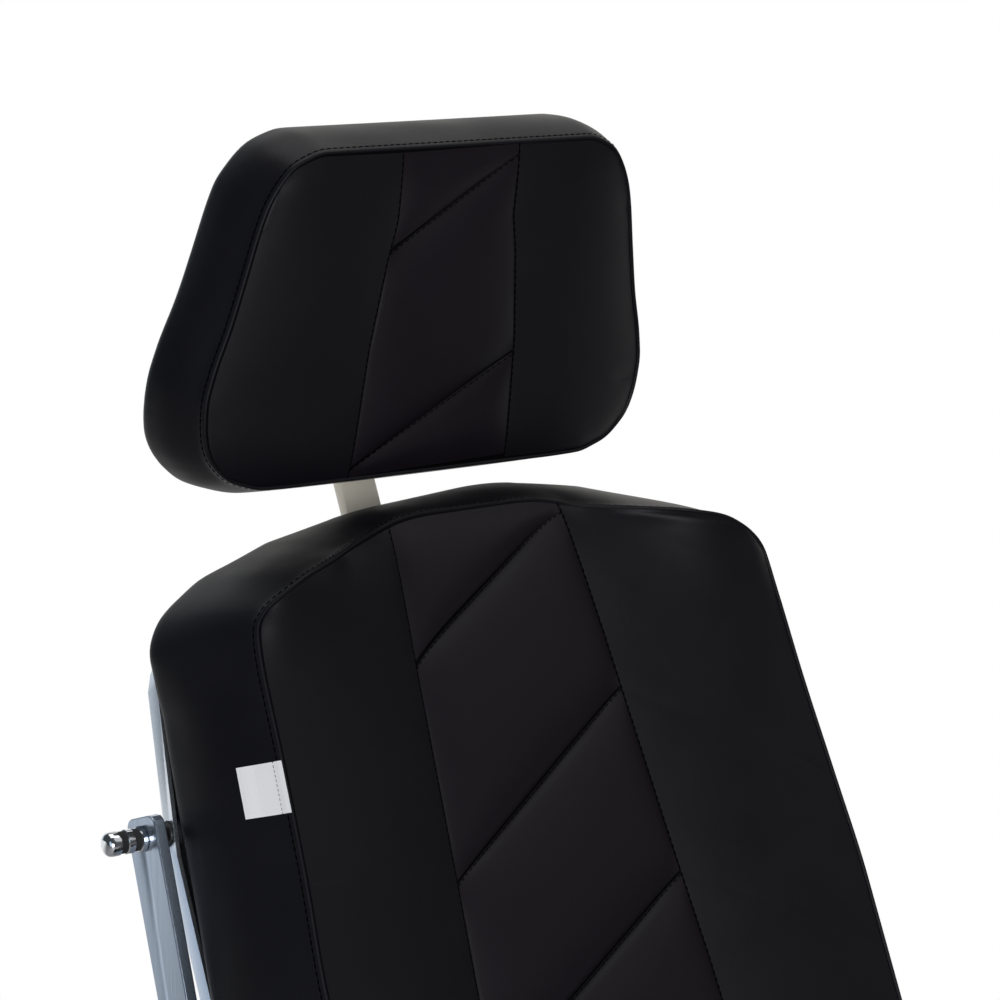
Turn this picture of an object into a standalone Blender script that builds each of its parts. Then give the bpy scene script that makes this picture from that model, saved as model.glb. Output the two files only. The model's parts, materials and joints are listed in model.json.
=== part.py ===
"""Procedure chair: a padded back, seat, leg rest and headrest on a lifting column.

The patient faces -Y, X runs across the chair and Z is up. Lengths are in metres.
"""
from math import atan2, cos, exp, pi, radians, sin, tan

import bmesh
import bpy
from mathutils import Vector

# Fits
GAP = 0.0003                 # between pieces that touch
RUN = 0.0004                 # round a turning pin, on the radius
ROUND_SIDES = 18

# Floor base
BASE_LENGTH = 0.640
BASE_WIDTH = 0.470
BASE_REARWARD = 0.060        # middle of the base behind the column
BASE_PLATE_T = 0.010
BASE_CORNER = 0.060
FOOT_HEIGHT = 0.014
FOOT_RADIUS = 0.024
FOOT_INSET = 0.055
COVER_HEIGHT = 0.086
COVER_WALL = 0.004
COVER_TAPER = 0.024
INLET_WIDTH = 0.050
INLET_HEIGHT = 0.028
INLET_DEPTH = 0.042
INLET_Z = 0.055
INLET_PROUD = 0.004
CONTROL_BOX = (0.130, 0.110, 0.045)

# Pedals
PEDAL_LENGTH = 0.074
PEDAL_WIDTH = 0.080
PEDAL_T = 0.008
PEDAL_PITCH = 0.095
PEDAL_ROD_R = 0.005
PEDAL_ROD_Z = 0.030
PEDAL_STRIP_LAP = 0.050      # bracket's strip under the base plate
PEDAL_ROD_BEHIND = 0.052     # rod behind the rear edge of the base plate
PEDAL_HUB_R = 0.010
PEDAL_EAR_T = 0.006

# Lifting column
COLUMN_WIDTH = 0.180
COLUMN_DEPTH = 0.150
COLUMN_CORNER = 0.016
TUBE_WALL = 0.005
GLIDE_T = 0.005
GLIDE_HEIGHT = 0.060
GLIDE_LIP = 0.004
STAGE_HEIGHT = 0.305
STAGE_STEP = 0.012           # each stage stands this much above the one outside it
LIFT_TRAVEL = 0.280
DECK_Z = 0.462               # top of the inner tube, under its top plate
TOP_PLATE = (0.196, 0.260, 0.008)
MOTOR_RADIUS = 0.028
SPINDLE_RADIUS = 0.012
SPINDLE_LOW = 0.016          # spindle foot above the floor of the motor tube

# Seat frame
RAIL_OUT = 0.211             # outer face of each side rail from the middle
RAIL_WIDTH = 0.025
RAIL_HEIGHT = 0.050
RAIL_FRONT = -0.214
RAIL_REAR = 0.205
CROSSBAR_WIDTH = 0.036
CROSSBAR_HEIGHT = 0.028
CROSSBAR_FRONT_Y = -0.110
CROSSBAR_REAR_Y = 0.100
BOARD_T = 0.012
BOARD_CORNER = 0.020
BOARD_HALF = 0.205
BOARD_SHORT = 0.014          # board ends in front of the cushion's rear edge
HINGE_PLATE_T = 0.010
HINGE_PIN_R = 0.009
EYE_R = 0.024

# Seat cushion
SEAT_FRONT = -0.244
SEAT_REAR = 0.182
SEAT_HALF = 0.222
SEAT_THICK = 0.074
SEAT_FLARE = 0.016
SEAT_SEAM = 0.100            # centre panel's seam from the middle
SEAT_FIRST_ROW = 0.070
SEAT_CROWN = 0.010
SEAT_NOSE = 0.080            # length of the rolled front edge
SEAT_NOSE_DROP = 0.022

# Back
BACK_HINGE = (0.235, DECK_Z + 0.089)   # y and z
BACK_RECLINE = radians(25.5)
BACK_UPRIGHT = radians(10.5)
BACK_FLAT = radians(90.0)
BACK_PANEL = 0.040           # front panel in front of the hinge
BACK_TOP = 0.640             # top of the front panel above the hinge, along the back
BACK_LENGTH = 0.575
BACK_FIRST_ROW = 0.007       # first slanting seam under the top, at its higher end
BACK_ROW_PITCH = 0.134
BACK_ROW_SLANT = 0.104
BACK_THICK = 0.072
BACK_FLARE = 0.025
BACK_BOLSTER = 0.034         # side seams in front of the centre panel
BACK_SHOULDER = 0.019        # shoulders in front of the side seams
BACK_BOARD_T = 0.010
BACK_BOARD_HALF = 0.192
BACK_RAIL_OUT = 0.200
BACK_RAIL_T = 0.010
BACK_RAIL_DEPTH = 0.020
BACK_RAIL_TOP = 0.545
BACK_CROSSBAR_Z = 0.525
BACK_CROSSBAR_HALF = 0.015
SHELL_WALL = 0.003
SHELL_RIM = 0.014
SHELL_DEPTH = 0.034
SHELL_SLOPE = 0.024
SHELL_TOP = 0.600
SHELL_LOW = 0.050
SHELL_CORNER = 0.050
SHELL_HALF_LOW = 0.2475
SHELL_WAIST = 0.450
SHELL_HALF_WAIST = 0.2462
SHELL_HALF_TOP = 0.2333

# Headrest
HEAD_BAR_WIDTH = 0.030
HEAD_BAR_T = 0.010
HEAD_BAR_CORNER = 0.001
HEAD_BAR_BEHIND = 0.133      # front of the bar behind the back's front panel
HEAD_BAR_TOP = 0.150         # above the top of the front panel
HEAD_BAR_KEPT = 0.085        # bar left in its socket at the top of its travel
HEAD_TRAVEL = 0.120
SOCKET_WALL = 0.007
SOCKET_CORNER = 0.004
SOCKET_LENGTH = 0.150
SOCKET_TOP = -0.055          # under the top of the front panel
KNOB_RADIUS = 0.024
KNOB_LENGTH = 0.026
KNOB_SCREW_R = 0.005
HEAD_LEAN = radians(36.7)    # headrest leans forward of the back
HEAD_HEIGHT = 0.232
HEAD_HALF_LOW = 0.186
HEAD_HALF_TOP = 0.152
HEAD_THICK = 0.067
HEAD_FLARE = 0.004
HEAD_FOOT = (0.042, -0.042)  # bottom of its front face: above and in front of the front panel's top
HEAD_SHELL_T = 0.006
HEAD_PIVOT_UP = 0.040        # hinge above the bottom of the headrest
HEAD_PIVOT_BEHIND = 0.034    # hinge behind the shell
HEAD_BRACKET = (0.070, 0.090, 0.005)
HEAD_PIN_R = 0.006
HEAD_KNUCKLE_R = 0.014
HEAD_EAR_R = 0.012

# Armrests
ARM_INNER = 0.2545           # inner face of the arm bar from the middle
ARM_BAR_T = 0.008
ARM_BAR_WIDTH = 0.040
ARM_UPRIGHT = radians(6.5)   # bar stands more upright than the back
ARM_PIVOT_DOWN = 0.173       # pivot under the top of the front panel
ARM_PIVOT_BEHIND = 0.082
ARM_TOP_MARGIN = 0.014
ARM_DROP = 0.275
ARM_TREAD = radians(19.0)    # bar's own lean, which the level foot of the bar undoes
ARM_FOOT_HEIGHT = 0.040
ARM_FOOT_LENGTH = 0.335
ARM_FLANGE = (0.064, 0.250, 0.006)
ARM_PAD = (0.080, 0.330, 0.036)
ARM_NECK_R = 0.0035
ARM_SPACER_R = 0.005
ARM_BOSS_R = 0.0085
ARM_BOSS_PROUD = 0.002       # boss stands out of the shell
STUD_LENGTH = 0.028
STUD_R = 0.0082

# Leg rest
LEG_HINGE = (-0.262, DECK_Z + 0.014)   # y and z
LEG_DROP = radians(60.0)
LEG_LOWEST = radians(72.0)
LEG_LENGTH = 0.470
LEG_RAIL_T = 0.010
LEG_RAIL_SHORT = 0.045
LEG_HALF = 0.214
LEG_THICK = 0.074
LEG_FLARE = 0.016
LEG_FRONT_GAP = 0.012
LEG_FIRST_ROW = 0.060

# Linear drives
DRIVE_X = 0.125              # each drive's distance from the middle
DRIVE_TUBE_R = 0.022
DRIVE_ROD_R = 0.011
DRIVE_PIN_R = 0.007
DRIVE_LOST = 0.0055          # room for the pin each side in its slot
BACK_DRIVE_Z = DECK_Z - 0.022
LEG_DRIVE_Z = DECK_Z - 0.060
LEVER_T = 0.010
LEVER_RIM = 0.011
LEVER_NECK = 0.014           # lever's radius at its torque tube
TORQUE_R = 0.017
TORQUE_ARM = 0.038
BACK_TORQUE_TURN = radians(95.0)
FORK_EAR_T = 0.008
FORK_GAP = 0.001
FORK_R = 0.015
FORK_REACH = 0.044
BACK_PIN_LEAD = 0.0039       # pin off the middle of its slot at rest
LEG_PIN_LEAD = 0.0019
MOTOR_BOX = (0.060, 0.100, 0.062)
BACK_TUBE = (-0.190, 0.082)  # front and rear end, y
LEG_TUBE = (-0.130, 0.170)
BACK_ROD_TAIL = 0.010        # y of the rod's hidden end
LEG_ROD_TAIL = 0.005

# Upholstery
SEAM_DEPTH = 0.004
SEAM_SIDE = 0.008
PUFF = 0.007
ROW_PITCH = 0.150            # slanting channels of seat and leg rest
ROW_SLANT = 0.110

CHAIR_SHIFT = -0.0446        # column in front of the middle of the chair's depth


def clear_scene():
    for item in list(bpy.data.objects):
        bpy.data.objects.remove(item, do_unlink=True)


def finish(name, colour, roughness, metallic):
    made = bpy.data.materials.new(name)
    made.use_nodes = True
    shader = made.node_tree.nodes["Principled BSDF"]
    shader.inputs["Base Color"].default_value = (*colour, 1.0)
    shader.inputs["Roughness"].default_value = roughness
    shader.inputs["Metallic"].default_value = metallic
    return made


def pivot(name, parent=None, at=(0, 0, 0), tilt=0.0):
    """An empty; tilt turns it about its X axis."""
    made = bpy.data.objects.new(name, None)
    bpy.context.scene.collection.objects.link(made)
    made.parent = parent
    made.location = at
    made.rotation_euler = (tilt, 0, 0)
    return made


def place(name, shape, parent, look, smooth=True):
    bmesh.ops.recalc_face_normals(shape, faces=shape.faces)
    mesh = bpy.data.meshes.new(name)
    shape.to_mesh(mesh)
    shape.free()
    if smooth:
        mesh.shade_smooth()
        mesh.set_sharp_from_angle(angle=radians(35))
    made = bpy.data.objects.new(name, mesh)
    bpy.context.scene.collection.objects.link(made)
    made.parent = parent
    if look:
        mesh.materials.append(look)
    return made


def skin(shape, loops, closed=False):
    """Quads between neighbouring loops; flat caps at both ends unless the row closes on itself."""
    rows = [[shape.verts.new(point) for point in loop] for loop in loops]
    count = len(rows[0])
    pairs = list(zip(rows, rows[1:]))
    if closed:
        pairs.append((rows[-1], rows[0]))
    for low, high in pairs:
        for i in range(count):
            j = (i + 1) % count
            shape.faces.new((low[i], low[j], high[j], high[i]))
    if not closed:
        shape.faces.new(rows[0])
        shape.faces.new(rows[-1])


def loft(name, loops, parent, look, closed=False):
    shape = bmesh.new()
    skin(shape, loops, closed)
    return place(name, shape, parent, look)


def lay(points, level, axis):
    """Put flat points at one level along an axis."""
    if axis == "X":
        return [(level, a, b) for a, b in points]
    if axis == "Y":
        return [(a, level, b) for a, b in points]
    return [(a, b, level) for a, b in points]


def prism(name, outline, low, high, axis, parent, look):
    return loft(name, [lay(outline, low, axis), lay(outline, high, axis)], parent, look)


def circle(radius, centre=(0, 0), sides=ROUND_SIDES):
    return arc(centre, radius, 0, 2 * pi * (1 - 1 / sides), sides - 1)


def arc(centre, radius, start, end, steps):
    turns = [start + (end - start) * i / steps for i in range(steps + 1)]
    return [(centre[0] + radius * cos(t), centre[1] + radius * sin(t)) for t in turns]


def rounded(width, depth, radius, centre=(0, 0), steps=4):
    """Rectangle with round corners."""
    points = []
    for k, (sx, sy) in enumerate(((1, 1), (-1, 1), (-1, -1), (1, -1))):
        corner = (centre[0] + sx * (width / 2 - radius), centre[1] + sy * (depth / 2 - radius))
        points += arc(corner, radius, k * pi / 2, (k + 1) * pi / 2, steps)
    return points


def link(first, second, radius, steps=8):
    """Flat bar outline with round ends about two centres."""
    lean = atan2(second[1] - first[1], second[0] - first[0])
    ends = arc(second, radius, lean - pi / 2, lean + pi / 2, steps)
    return ends + arc(first, radius, lean + pi / 2, lean + 3 * pi / 2, steps)


def turned(name, profile, axis, centre, parent, look, hollow=False, sides=ROUND_SIDES):
    """Circles of (radius, level) along an axis; a hollow profile closes on itself."""
    loops = [lay(circle(radius, centre, sides), level, axis) for radius, level in profile]
    return loft(name, loops, parent, look, closed=hollow)


def block(name, low, high, parent, look):
    outline = [(low[0], low[1]), (high[0], low[1]), (high[0], high[1]), (low[0], high[1])]
    return prism(name, outline, low[2], high[2], "Z", parent, look)


def soften(piece, width, segments=2):
    bevel = piece.modifiers.new("soften", "BEVEL")
    bevel.width = width
    bevel.segments = segments
    bevel.limit_method = "ANGLE"
    bevel.angle_limit = radians(40)
    return piece


def combine(piece, other, operation):
    other.hide_render = True
    other.display_type = "WIRE"
    mix = piece.modifiers.new(operation.lower(), "BOOLEAN")
    mix.operation = operation
    mix.object = other
    return piece


def cut(piece, other):
    return combine(piece, other, "DIFFERENCE")


def weld(piece, other):
    return combine(piece, other, "UNION")


def ease(x):
    x = max(0.0, min(1.0, x))
    return x * x * (3 - 2 * x)


def between(x, knots):
    """Straight lines through (x, y) knots in rising order of x."""
    for (x0, y0), (x1, y1) in zip(knots, knots[1:]):
        if x <= x1:
            return y0 + (y1 - y0) * (x - x0) / (x1 - x0)
    return knots[-1][1]


def slanted_rows(length, first, pitch, slant, count):
    """Rows of a sewn panel: (fall at left, fall at right, lift), measured down from its top edge."""
    rows = [(0.0, 0.0, 0.0)]
    for k in range(count):
        right = first + k * pitch
        left = right + slant
        rows += [(left - SEAM_SIDE, right - min(SEAM_SIDE, right / 2), 0.0), (left, right, -SEAM_DEPTH)]
        rows += [(left + SEAM_SIDE, right + SEAM_SIDE, 0.0)]
        rows += [(left + pitch / 2, right + pitch / 2, PUFF)]
    rows = [row for row in rows if row[0] < length - SEAM_SIDE]
    return rows + [(length, length, 0.0)]


def sewn_front(rows, length, half, seam, top, bulge):
    """Grid of (across, fall, forward) points of a padded front with a sewn centre panel.

    half and seam give half widths at a fall, top the fall of the top edge across,
    and bulge how far forward the surface stands.
    """
    across = [1.0, 0.94, 0.62, 0.30]
    inside = [0.88, 0.45]
    grid = []
    for left, right, lift in rows:
        line = []
        share = (left + right) / 2 / length
        for side, fall in ((-1, left), (1, right)):
            wide = half(share * length)
            narrow = seam(share * length)
            stations = [(narrow + (wide - narrow) * a, False) for a in across]
            stations += [(narrow + SEAM_SIDE, False), (narrow, True)]
            stations += [(narrow * a, False) for a in inside]
            part = []
            for s, stitched in stations:
                out = max(0.0, (s - narrow) / (wide - narrow))
                level = fall + (share * length - fall) * out
                if s < narrow:
                    level += (share * length - fall) * (1 - s / narrow)
                level += top(s) * (1 - share) ** 3
                forward = bulge(s, level)
                if stitched:
                    forward -= SEAM_DEPTH
                elif s < narrow:
                    forward += lift
                part.append((side * s, level, forward))
            line += part if side < 0 else part[::-1]
        grid.append(line)
    return grid


def padded(name, grid, thickness, flare, spot, parent, look):
    """Cushion from a front grid: a rolled edge, drawn-in sides that flare, and a flat rear.

    spot turns (across, fall, forward) into the place of a point.
    """
    shape = bmesh.new()
    verts = [[shape.verts.new(spot(*point)) for point in line] for line in grid]
    for low, high in zip(verts, verts[1:]):
        for i in range(len(low) - 1):
            shape.faces.new((low[i], low[i + 1], high[i + 1], high[i]))
    last = len(grid[0]) - 1
    rim = [(0, i) for i in range(last)] + [(j, last) for j in range(len(grid) - 1)]
    rim += [(len(grid) - 1, i) for i in range(last, 0, -1)] + [(j, 0) for j in range(len(grid) - 1, 0, -1)]
    edge = [grid[j][i] for j, i in rim]
    count = len(edge)
    outward = []
    for k in range(count):
        before, after = edge[k - 2], edge[(k + 2) % count]
        run = Vector((after[0] - before[0], after[1] - before[1])).normalized()
        outward.append(Vector((run.y, -run.x)))
    previous = [verts[j][i] for j, i in rim]
    for share, spread in ((0.06, 0.20), (0.25, 0.30), (0.60, 0.62), (0.92, 1.0), (1.0, 0.90)):
        ring = []
        for (s, fall, forward), out in zip(edge, outward):
            depth = forward + (-thickness - forward) * share
            ring.append(shape.verts.new(spot(s + out.x * flare * spread, fall + out.y * flare * spread, depth)))
        for k in range(count):
            j = (k + 1) % count
            shape.faces.new((previous[k], previous[j], ring[j], ring[k]))
        previous = ring
    shape.faces.new(previous)
    return place(name, shape, parent, look)


def rising(grid_rows, shares_first, shares_last):
    """Extra rows between the first two rows and the last two, for round corners."""
    first, second = grid_rows[0], grid_rows[1]
    before, last = grid_rows[-2], grid_rows[-1]
    head = [tuple(a + (b - a) * f for a, b in zip(first, second)) for f in shares_first]
    tail = [tuple(a + (b - a) * f for a, b in zip(before, last)) for f in shares_last]
    return [first] + head + grid_rows[1:-1] + tail + [last]


def mirrored(points):
    return [(-x, y) for x, y in reversed(points)]


def make_base(root, looks):
    plate_top = FOOT_HEIGHT + BASE_PLATE_T
    middle = (0, BASE_REARWARD)
    edge = rounded(BASE_WIDTH, BASE_LENGTH, BASE_CORNER, middle)
    prism("base_plate", edge, FOOT_HEIGHT, plate_top, "Z", root, looks["painted"])

    steps = ((FOOT_RADIUS, 0), (FOOT_RADIUS, 0.006), (0.010, 0.009), (0.007, FOOT_HEIGHT - GAP))
    for sx, side in ((-1, "left"), (1, "right")):
        for sy, end in ((-1, "front"), (1, "rear")):
            spot = (sx * (BASE_WIDTH / 2 - FOOT_INSET), BASE_REARWARD + sy * (BASE_LENGTH / 2 - FOOT_INSET))
            turned("levelling_foot_" + end + "_" + side, steps, "Z", spot, root, looks["rubber"])

    def ring(grow, z, radius=BASE_CORNER):
        outline = rounded(BASE_WIDTH + 2 * grow, BASE_LENGTH + 2 * grow, radius, middle)
        return lay(outline, z, "Z")

    def mouth(z):
        size = 2 * (GLIDE_T + GAP)
        return lay(rounded(COLUMN_WIDTH + size, COLUMN_DEPTH + size, COLUMN_CORNER), z, "Z")

    top = FOOT_HEIGHT + COVER_HEIGHT
    slope = COVER_TAPER / 2
    skirt = plate_top + COVER_WALL
    loops = [ring(GAP + COVER_WALL, FOOT_HEIGHT), ring(GAP + COVER_WALL, skirt),
             ring(COVER_WALL - slope, top - slope), ring(-COVER_TAPER, top),
             mouth(top), mouth(top - COVER_WALL),
             ring(-COVER_TAPER, top - COVER_WALL), ring(-slope, top - slope - COVER_WALL),
             ring(GAP, skirt), ring(GAP, FOOT_HEIGHT)]
    cover = loft("base_cover", loops, root, looks["plastic"], closed=True)
    front = BASE_REARWARD - BASE_LENGTH / 2
    half = INLET_WIDTH / 2
    inlet_low = (-half, front - INLET_PROUD, INLET_Z - INLET_HEIGHT / 2)
    inlet_high = (half, front - INLET_PROUD + INLET_DEPTH, INLET_Z + INLET_HEIGHT / 2)
    hole = block("inlet_hole", [v - GAP for v in inlet_low], [v + GAP for v in inlet_high], root, None)
    cut(cover, hole)
    inlet = block("power_inlet", inlet_low, inlet_high, root, looks["black"])
    socket = block("inlet_socket", (-half + 0.012, front - 0.010, INLET_Z - 0.008),
                   (half - 0.012, front + 0.010, INLET_Z + 0.008), root, None)
    cut(inlet, socket)
    wide, deep, tall = CONTROL_BOX
    behind = COLUMN_DEPTH / 2 + 0.020
    box = block("control_box", (-wide / 2, behind, plate_top + GAP),
                (wide / 2, behind + deep, plate_top + GAP + tall), root, looks["plastic"])
    soften(box, 0.003, 1)


def make_pedals(root, looks):
    rear = BASE_REARWARD + BASE_LENGTH / 2
    rod_y = rear + PEDAL_ROD_BEHIND
    under = FOOT_HEIGHT - GAP
    strip_t = 0.005
    reach = 1.5 * PEDAL_PITCH + 0.006
    outer = reach + PEDAL_EAR_T
    ear_top = PEDAL_ROD_Z + PEDAL_HUB_R
    fork = [(-outer, under - strip_t), (outer, under - strip_t), (outer, ear_top), (reach, ear_top),
            (reach, under), (-reach, under), (-reach, ear_top), (-outer, ear_top)]
    ear = PEDAL_HUB_R + 0.003
    bracket = prism("pedal_bracket", fork, rod_y - ear, rod_y + ear, "Y", root, looks["painted"])
    strip = block("pedal_strip", (-PEDAL_PITCH, rear - PEDAL_STRIP_LAP, under - strip_t),
                  (PEDAL_PITCH, rod_y, under), root, None)
    rod = turned("pedal_rod", [(PEDAL_ROD_R, -reach - 0.003), (PEDAL_ROD_R, reach + 0.003)], "X",
                 (rod_y, PEDAL_ROD_Z), root, None)
    weld(weld(bracket, strip), rod)
    half = PEDAL_LENGTH / 2
    tread = [(-half, 0.012), (0, 0.007), (half, 0.012), (half, 0.012 + PEDAL_T), (0, 0.007 + PEDAL_T),
             (-half, 0.012 + PEDAL_T)]
    for k, name in enumerate(("pedal_back", "pedal_lift", "pedal_leg")):
        hinge = pivot(name + "_pivot", root, (0, rod_y, PEDAL_ROD_Z))
        low = (k - 1) * PEDAL_PITCH - PEDAL_WIDTH / 2
        high = low + PEDAL_WIDTH
        pedal = prism(name, tread, low, high, "X", hinge, looks["rubber"])
        hub = prism(name + "_hub", circle(PEDAL_HUB_R), low, high, "X", hinge, None)
        bore = prism(name + "_bore", circle(PEDAL_ROD_R + RUN), low - 0.01, high + 0.01, "X", hinge, None)
        cut(weld(pedal, hub), bore)


def stage(index, shrink=0.0):
    """Outline of a column stage, counted from the outer one; shrink moves it inwards."""
    less = 2 * (index * (TUBE_WALL + GLIDE_T) + shrink)
    return rounded(COLUMN_WIDTH - less, COLUMN_DEPTH - less, COLUMN_CORNER)


def make_column(root, carriage, middle_lift, looks):
    foot = FOOT_HEIGHT + BASE_PLATE_T + GAP

    def tube(name, index, low, high, parent):
        wall = [lay(stage(index), low, "Z"), lay(stage(index), high, "Z"),
                lay(stage(index, TUBE_WALL), high, "Z"), lay(stage(index, TUBE_WALL), low, "Z")]
        return loft(name, wall, parent, looks["aluminium"], closed=True)

    def collar(name, index, top, parent):
        inner = stage(index, TUBE_WALL + GLIDE_T - GAP)
        outer = stage(index, TUBE_WALL + GAP)
        low = top - GLIDE_HEIGHT
        lip = top + GAP
        wall = [lay(inner, low, "Z"), lay(inner, top + GLIDE_LIP, "Z"), lay(stage(index), top + GLIDE_LIP, "Z"),
                lay(stage(index), lip, "Z"), lay(outer, lip, "Z"), lay(outer, low, "Z")]
        loft(name, wall, parent, looks["black"], closed=True)

    outer_top = foot + STAGE_HEIGHT
    middle_top = outer_top + GLIDE_LIP + STAGE_STEP
    tube("column_outer", 0, foot, outer_top, root)
    collar("column_outer_glide", 0, outer_top, root)
    tube("column_middle", 1, middle_top - STAGE_HEIGHT, middle_top, middle_lift)
    collar("column_middle_glide", 1, middle_top, middle_lift)

    inner_low = middle_top + GLIDE_LIP + STAGE_STEP - STAGE_HEIGHT
    wide, deep, thick = TOP_PLATE
    count = len(stage(2))
    deck = rounded(wide, deep, COLUMN_CORNER, steps=count // 4 - 1)
    loops = [lay(stage(2, TUBE_WALL), DECK_Z, "Z"), lay(stage(2, TUBE_WALL), inner_low, "Z"),
             lay(stage(2), inner_low, "Z"), lay(stage(2), DECK_Z, "Z"),
             lay(deck, DECK_Z, "Z"), lay(deck, DECK_Z + thick, "Z")]
    loft("column_inner", loops, carriage, looks["aluminium"])

    floor = foot + TUBE_WALL
    bore = SPINDLE_RADIUS + RUN
    low = floor + SPINDLE_LOW
    motor_top = low + LIFT_TRAVEL + GLIDE_HEIGHT / 2
    turned("lift_motor", [(MOTOR_RADIUS, foot), (MOTOR_RADIUS, motor_top), (bore, motor_top), (bore, floor)],
           "Z", (0, 0), root, looks["black"])
    turned("lift_spindle", [(SPINDLE_RADIUS, low), (SPINDLE_RADIUS, DECK_Z - GAP)], "Z", (0, 0), carriage,
           looks["steel"])


def make_seat(carriage, looks):
    bar_low = DECK_Z + TOP_PLATE[2] + GAP
    frame_top = bar_low + CROSSBAR_HEIGHT
    rail_low = frame_top - RAIL_HEIGHT
    rail_in = RAIL_OUT - RAIL_WIDTH
    for side, name in ((-1, "left"), (1, "right")):
        faces = sorted((side * rail_in, side * RAIL_OUT))
        rail = block("seat_rail_" + name, (faces[0], RAIL_FRONT, rail_low), (faces[1], RAIL_REAR, frame_top),
                     carriage, looks["painted"])
        soften(rail, 0.003)
    for name, y in (("front", CROSSBAR_FRONT_Y), ("rear", CROSSBAR_REAR_Y)):
        bar = block("seat_crossbar_" + name, (GAP - rail_in, y - CROSSBAR_WIDTH / 2, bar_low),
                    (rail_in - GAP, y + CROSSBAR_WIDTH / 2, frame_top), carriage, looks["painted"])
        soften(bar, 0.002, 1)
    board_low = frame_top + GAP
    board_rear = SEAT_REAR - BOARD_SHORT
    board_y = (board_rear + SEAT_FRONT) / 2
    prism("seat_board", rounded(2 * BOARD_HALF, board_rear - SEAT_FRONT, BOARD_CORNER, (0, board_y)), board_low,
          board_low + BOARD_T, "Z", carriage, looks["wood"])

    seat_top = board_low + BOARD_T + GAP + SEAT_THICK
    long = SEAT_REAR - SEAT_FRONT
    rows = rising(slanted_rows(long, SEAT_FIRST_ROW, ROW_PITCH, ROW_SLANT, 3), (0.15, 0.5), (0.5, 0.85))
    widths = ((0, SEAT_HALF - 0.030), (0.020, SEAT_HALF - 0.006), (0.050, SEAT_HALF), (long - 0.050, SEAT_HALF),
              (long - 0.020, SEAT_HALF - 0.006), (long, SEAT_HALF - 0.030))

    def bulge(s, fall):
        rolled = ease((fall - long + SEAT_NOSE) / SEAT_NOSE)
        return -SEAT_CROWN * ease((s - 0.150) / 0.070) - SEAT_NOSE_DROP * rolled

    grid = sewn_front(rows, long, lambda f: between(f, widths), lambda f: SEAT_SEAM, lambda s: 0.0, bulge)
    padded("seat_cushion", grid, SEAT_THICK, SEAT_FLARE,
           lambda s, f, d: (s, SEAT_REAR - f, seat_top + d), carriage, looks["vinyl"])
    make_hinge_brackets(carriage, looks, rail_low, frame_top)


def make_hinge_brackets(carriage, looks, rail_low, frame_top):
    face = RAIL_OUT + GAP
    back_y, back_z = BACK_HINGE
    leg_y, leg_z = LEG_HINGE
    riser = [(CROSSBAR_REAR_Y, rail_low), (back_y + EYE_R, rail_low)]
    riser += arc((back_y, back_z), EYE_R, 0, pi, 10)
    riser += [(back_y - EYE_R, frame_top), (CROSSBAR_REAR_Y, frame_top)]
    leg_eye = frame_top - leg_z
    arm = link((leg_y + 0.090, leg_z), LEG_HINGE, leg_eye)
    for side, name in ((-1, "left"), (1, "right")):
        faces = sorted((side * face, side * (face + HINGE_PLATE_T)))
        for label, outline, centre, inner in (("back", riser, BACK_HINGE, BACK_RAIL_OUT - BACK_RAIL_T),
                                              ("leg", arm, LEG_HINGE, BACK_RAIL_OUT - LEG_RAIL_T)):
            plate = prism(label + "_hinge_bracket_" + name, outline, *faces, "X", carriage, looks["painted"])
            head = face + HINGE_PLATE_T
            steps = [(HINGE_PIN_R, side * inner), (HINGE_PIN_R, side * (head - 0.002)),
                     (HINGE_PIN_R + 0.004, side * (head - 0.002)), (HINGE_PIN_R + 0.004, side * (head + 0.004))]
            weld(plate, turned(label + "_hinge_pin_" + name, steps, "X", centre, carriage, None))


def around(circles):
    """Outline that wraps round circles of (centre, radius), as a belt does."""
    points = sorted(point for centre, radius in circles for point in circle(radius, centre, 24))

    def chain(ordered):
        made = []
        for x, y in ordered:
            while len(made) > 1:
                (x0, y0), (x1, y1) = made[-2:]
                if (x1 - x0) * (y - y0) - (y1 - y0) * (x - x0) > 1e-9:
                    break
                made.pop()
            made.append((x, y))
        return made[:-1]

    return chain(points) + chain(reversed(points))


def make_lever(name, hinge, turn, tube_turn, drop, swing, x, looks):
    """Torque tube beside a hinge with a slotted lever.

    Turns are from straight down, in the hinge's own frame.
    """
    def along(reach, angle):
        return (sin(angle) * reach, -cos(angle) * reach)

    half = BACK_RAIL_OUT - BACK_RAIL_T - GAP
    tube_at = along(TORQUE_ARM, tube_turn)
    tube = turned(name, [(TORQUE_R, -half), (TORQUE_R, half)], "X", tube_at, hinge, looks["painted"])
    slot_half = DRIVE_PIN_R + DRIVE_LOST
    near, far = along(drop, turn), along(drop / cos(swing), turn)
    rim = slot_half + LEVER_RIM
    lever = prism(name + "_lever", around(((tube_at, LEVER_NECK), (near, rim), (far, rim))),
                  x - LEVER_T / 2, x + LEVER_T / 2, "X", hinge, None)
    slot = prism(name + "_slot", link(near, far, slot_half), x - LEVER_T, x + LEVER_T, "X", hinge, None)
    cut(weld(tube, lever), slot)


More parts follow.
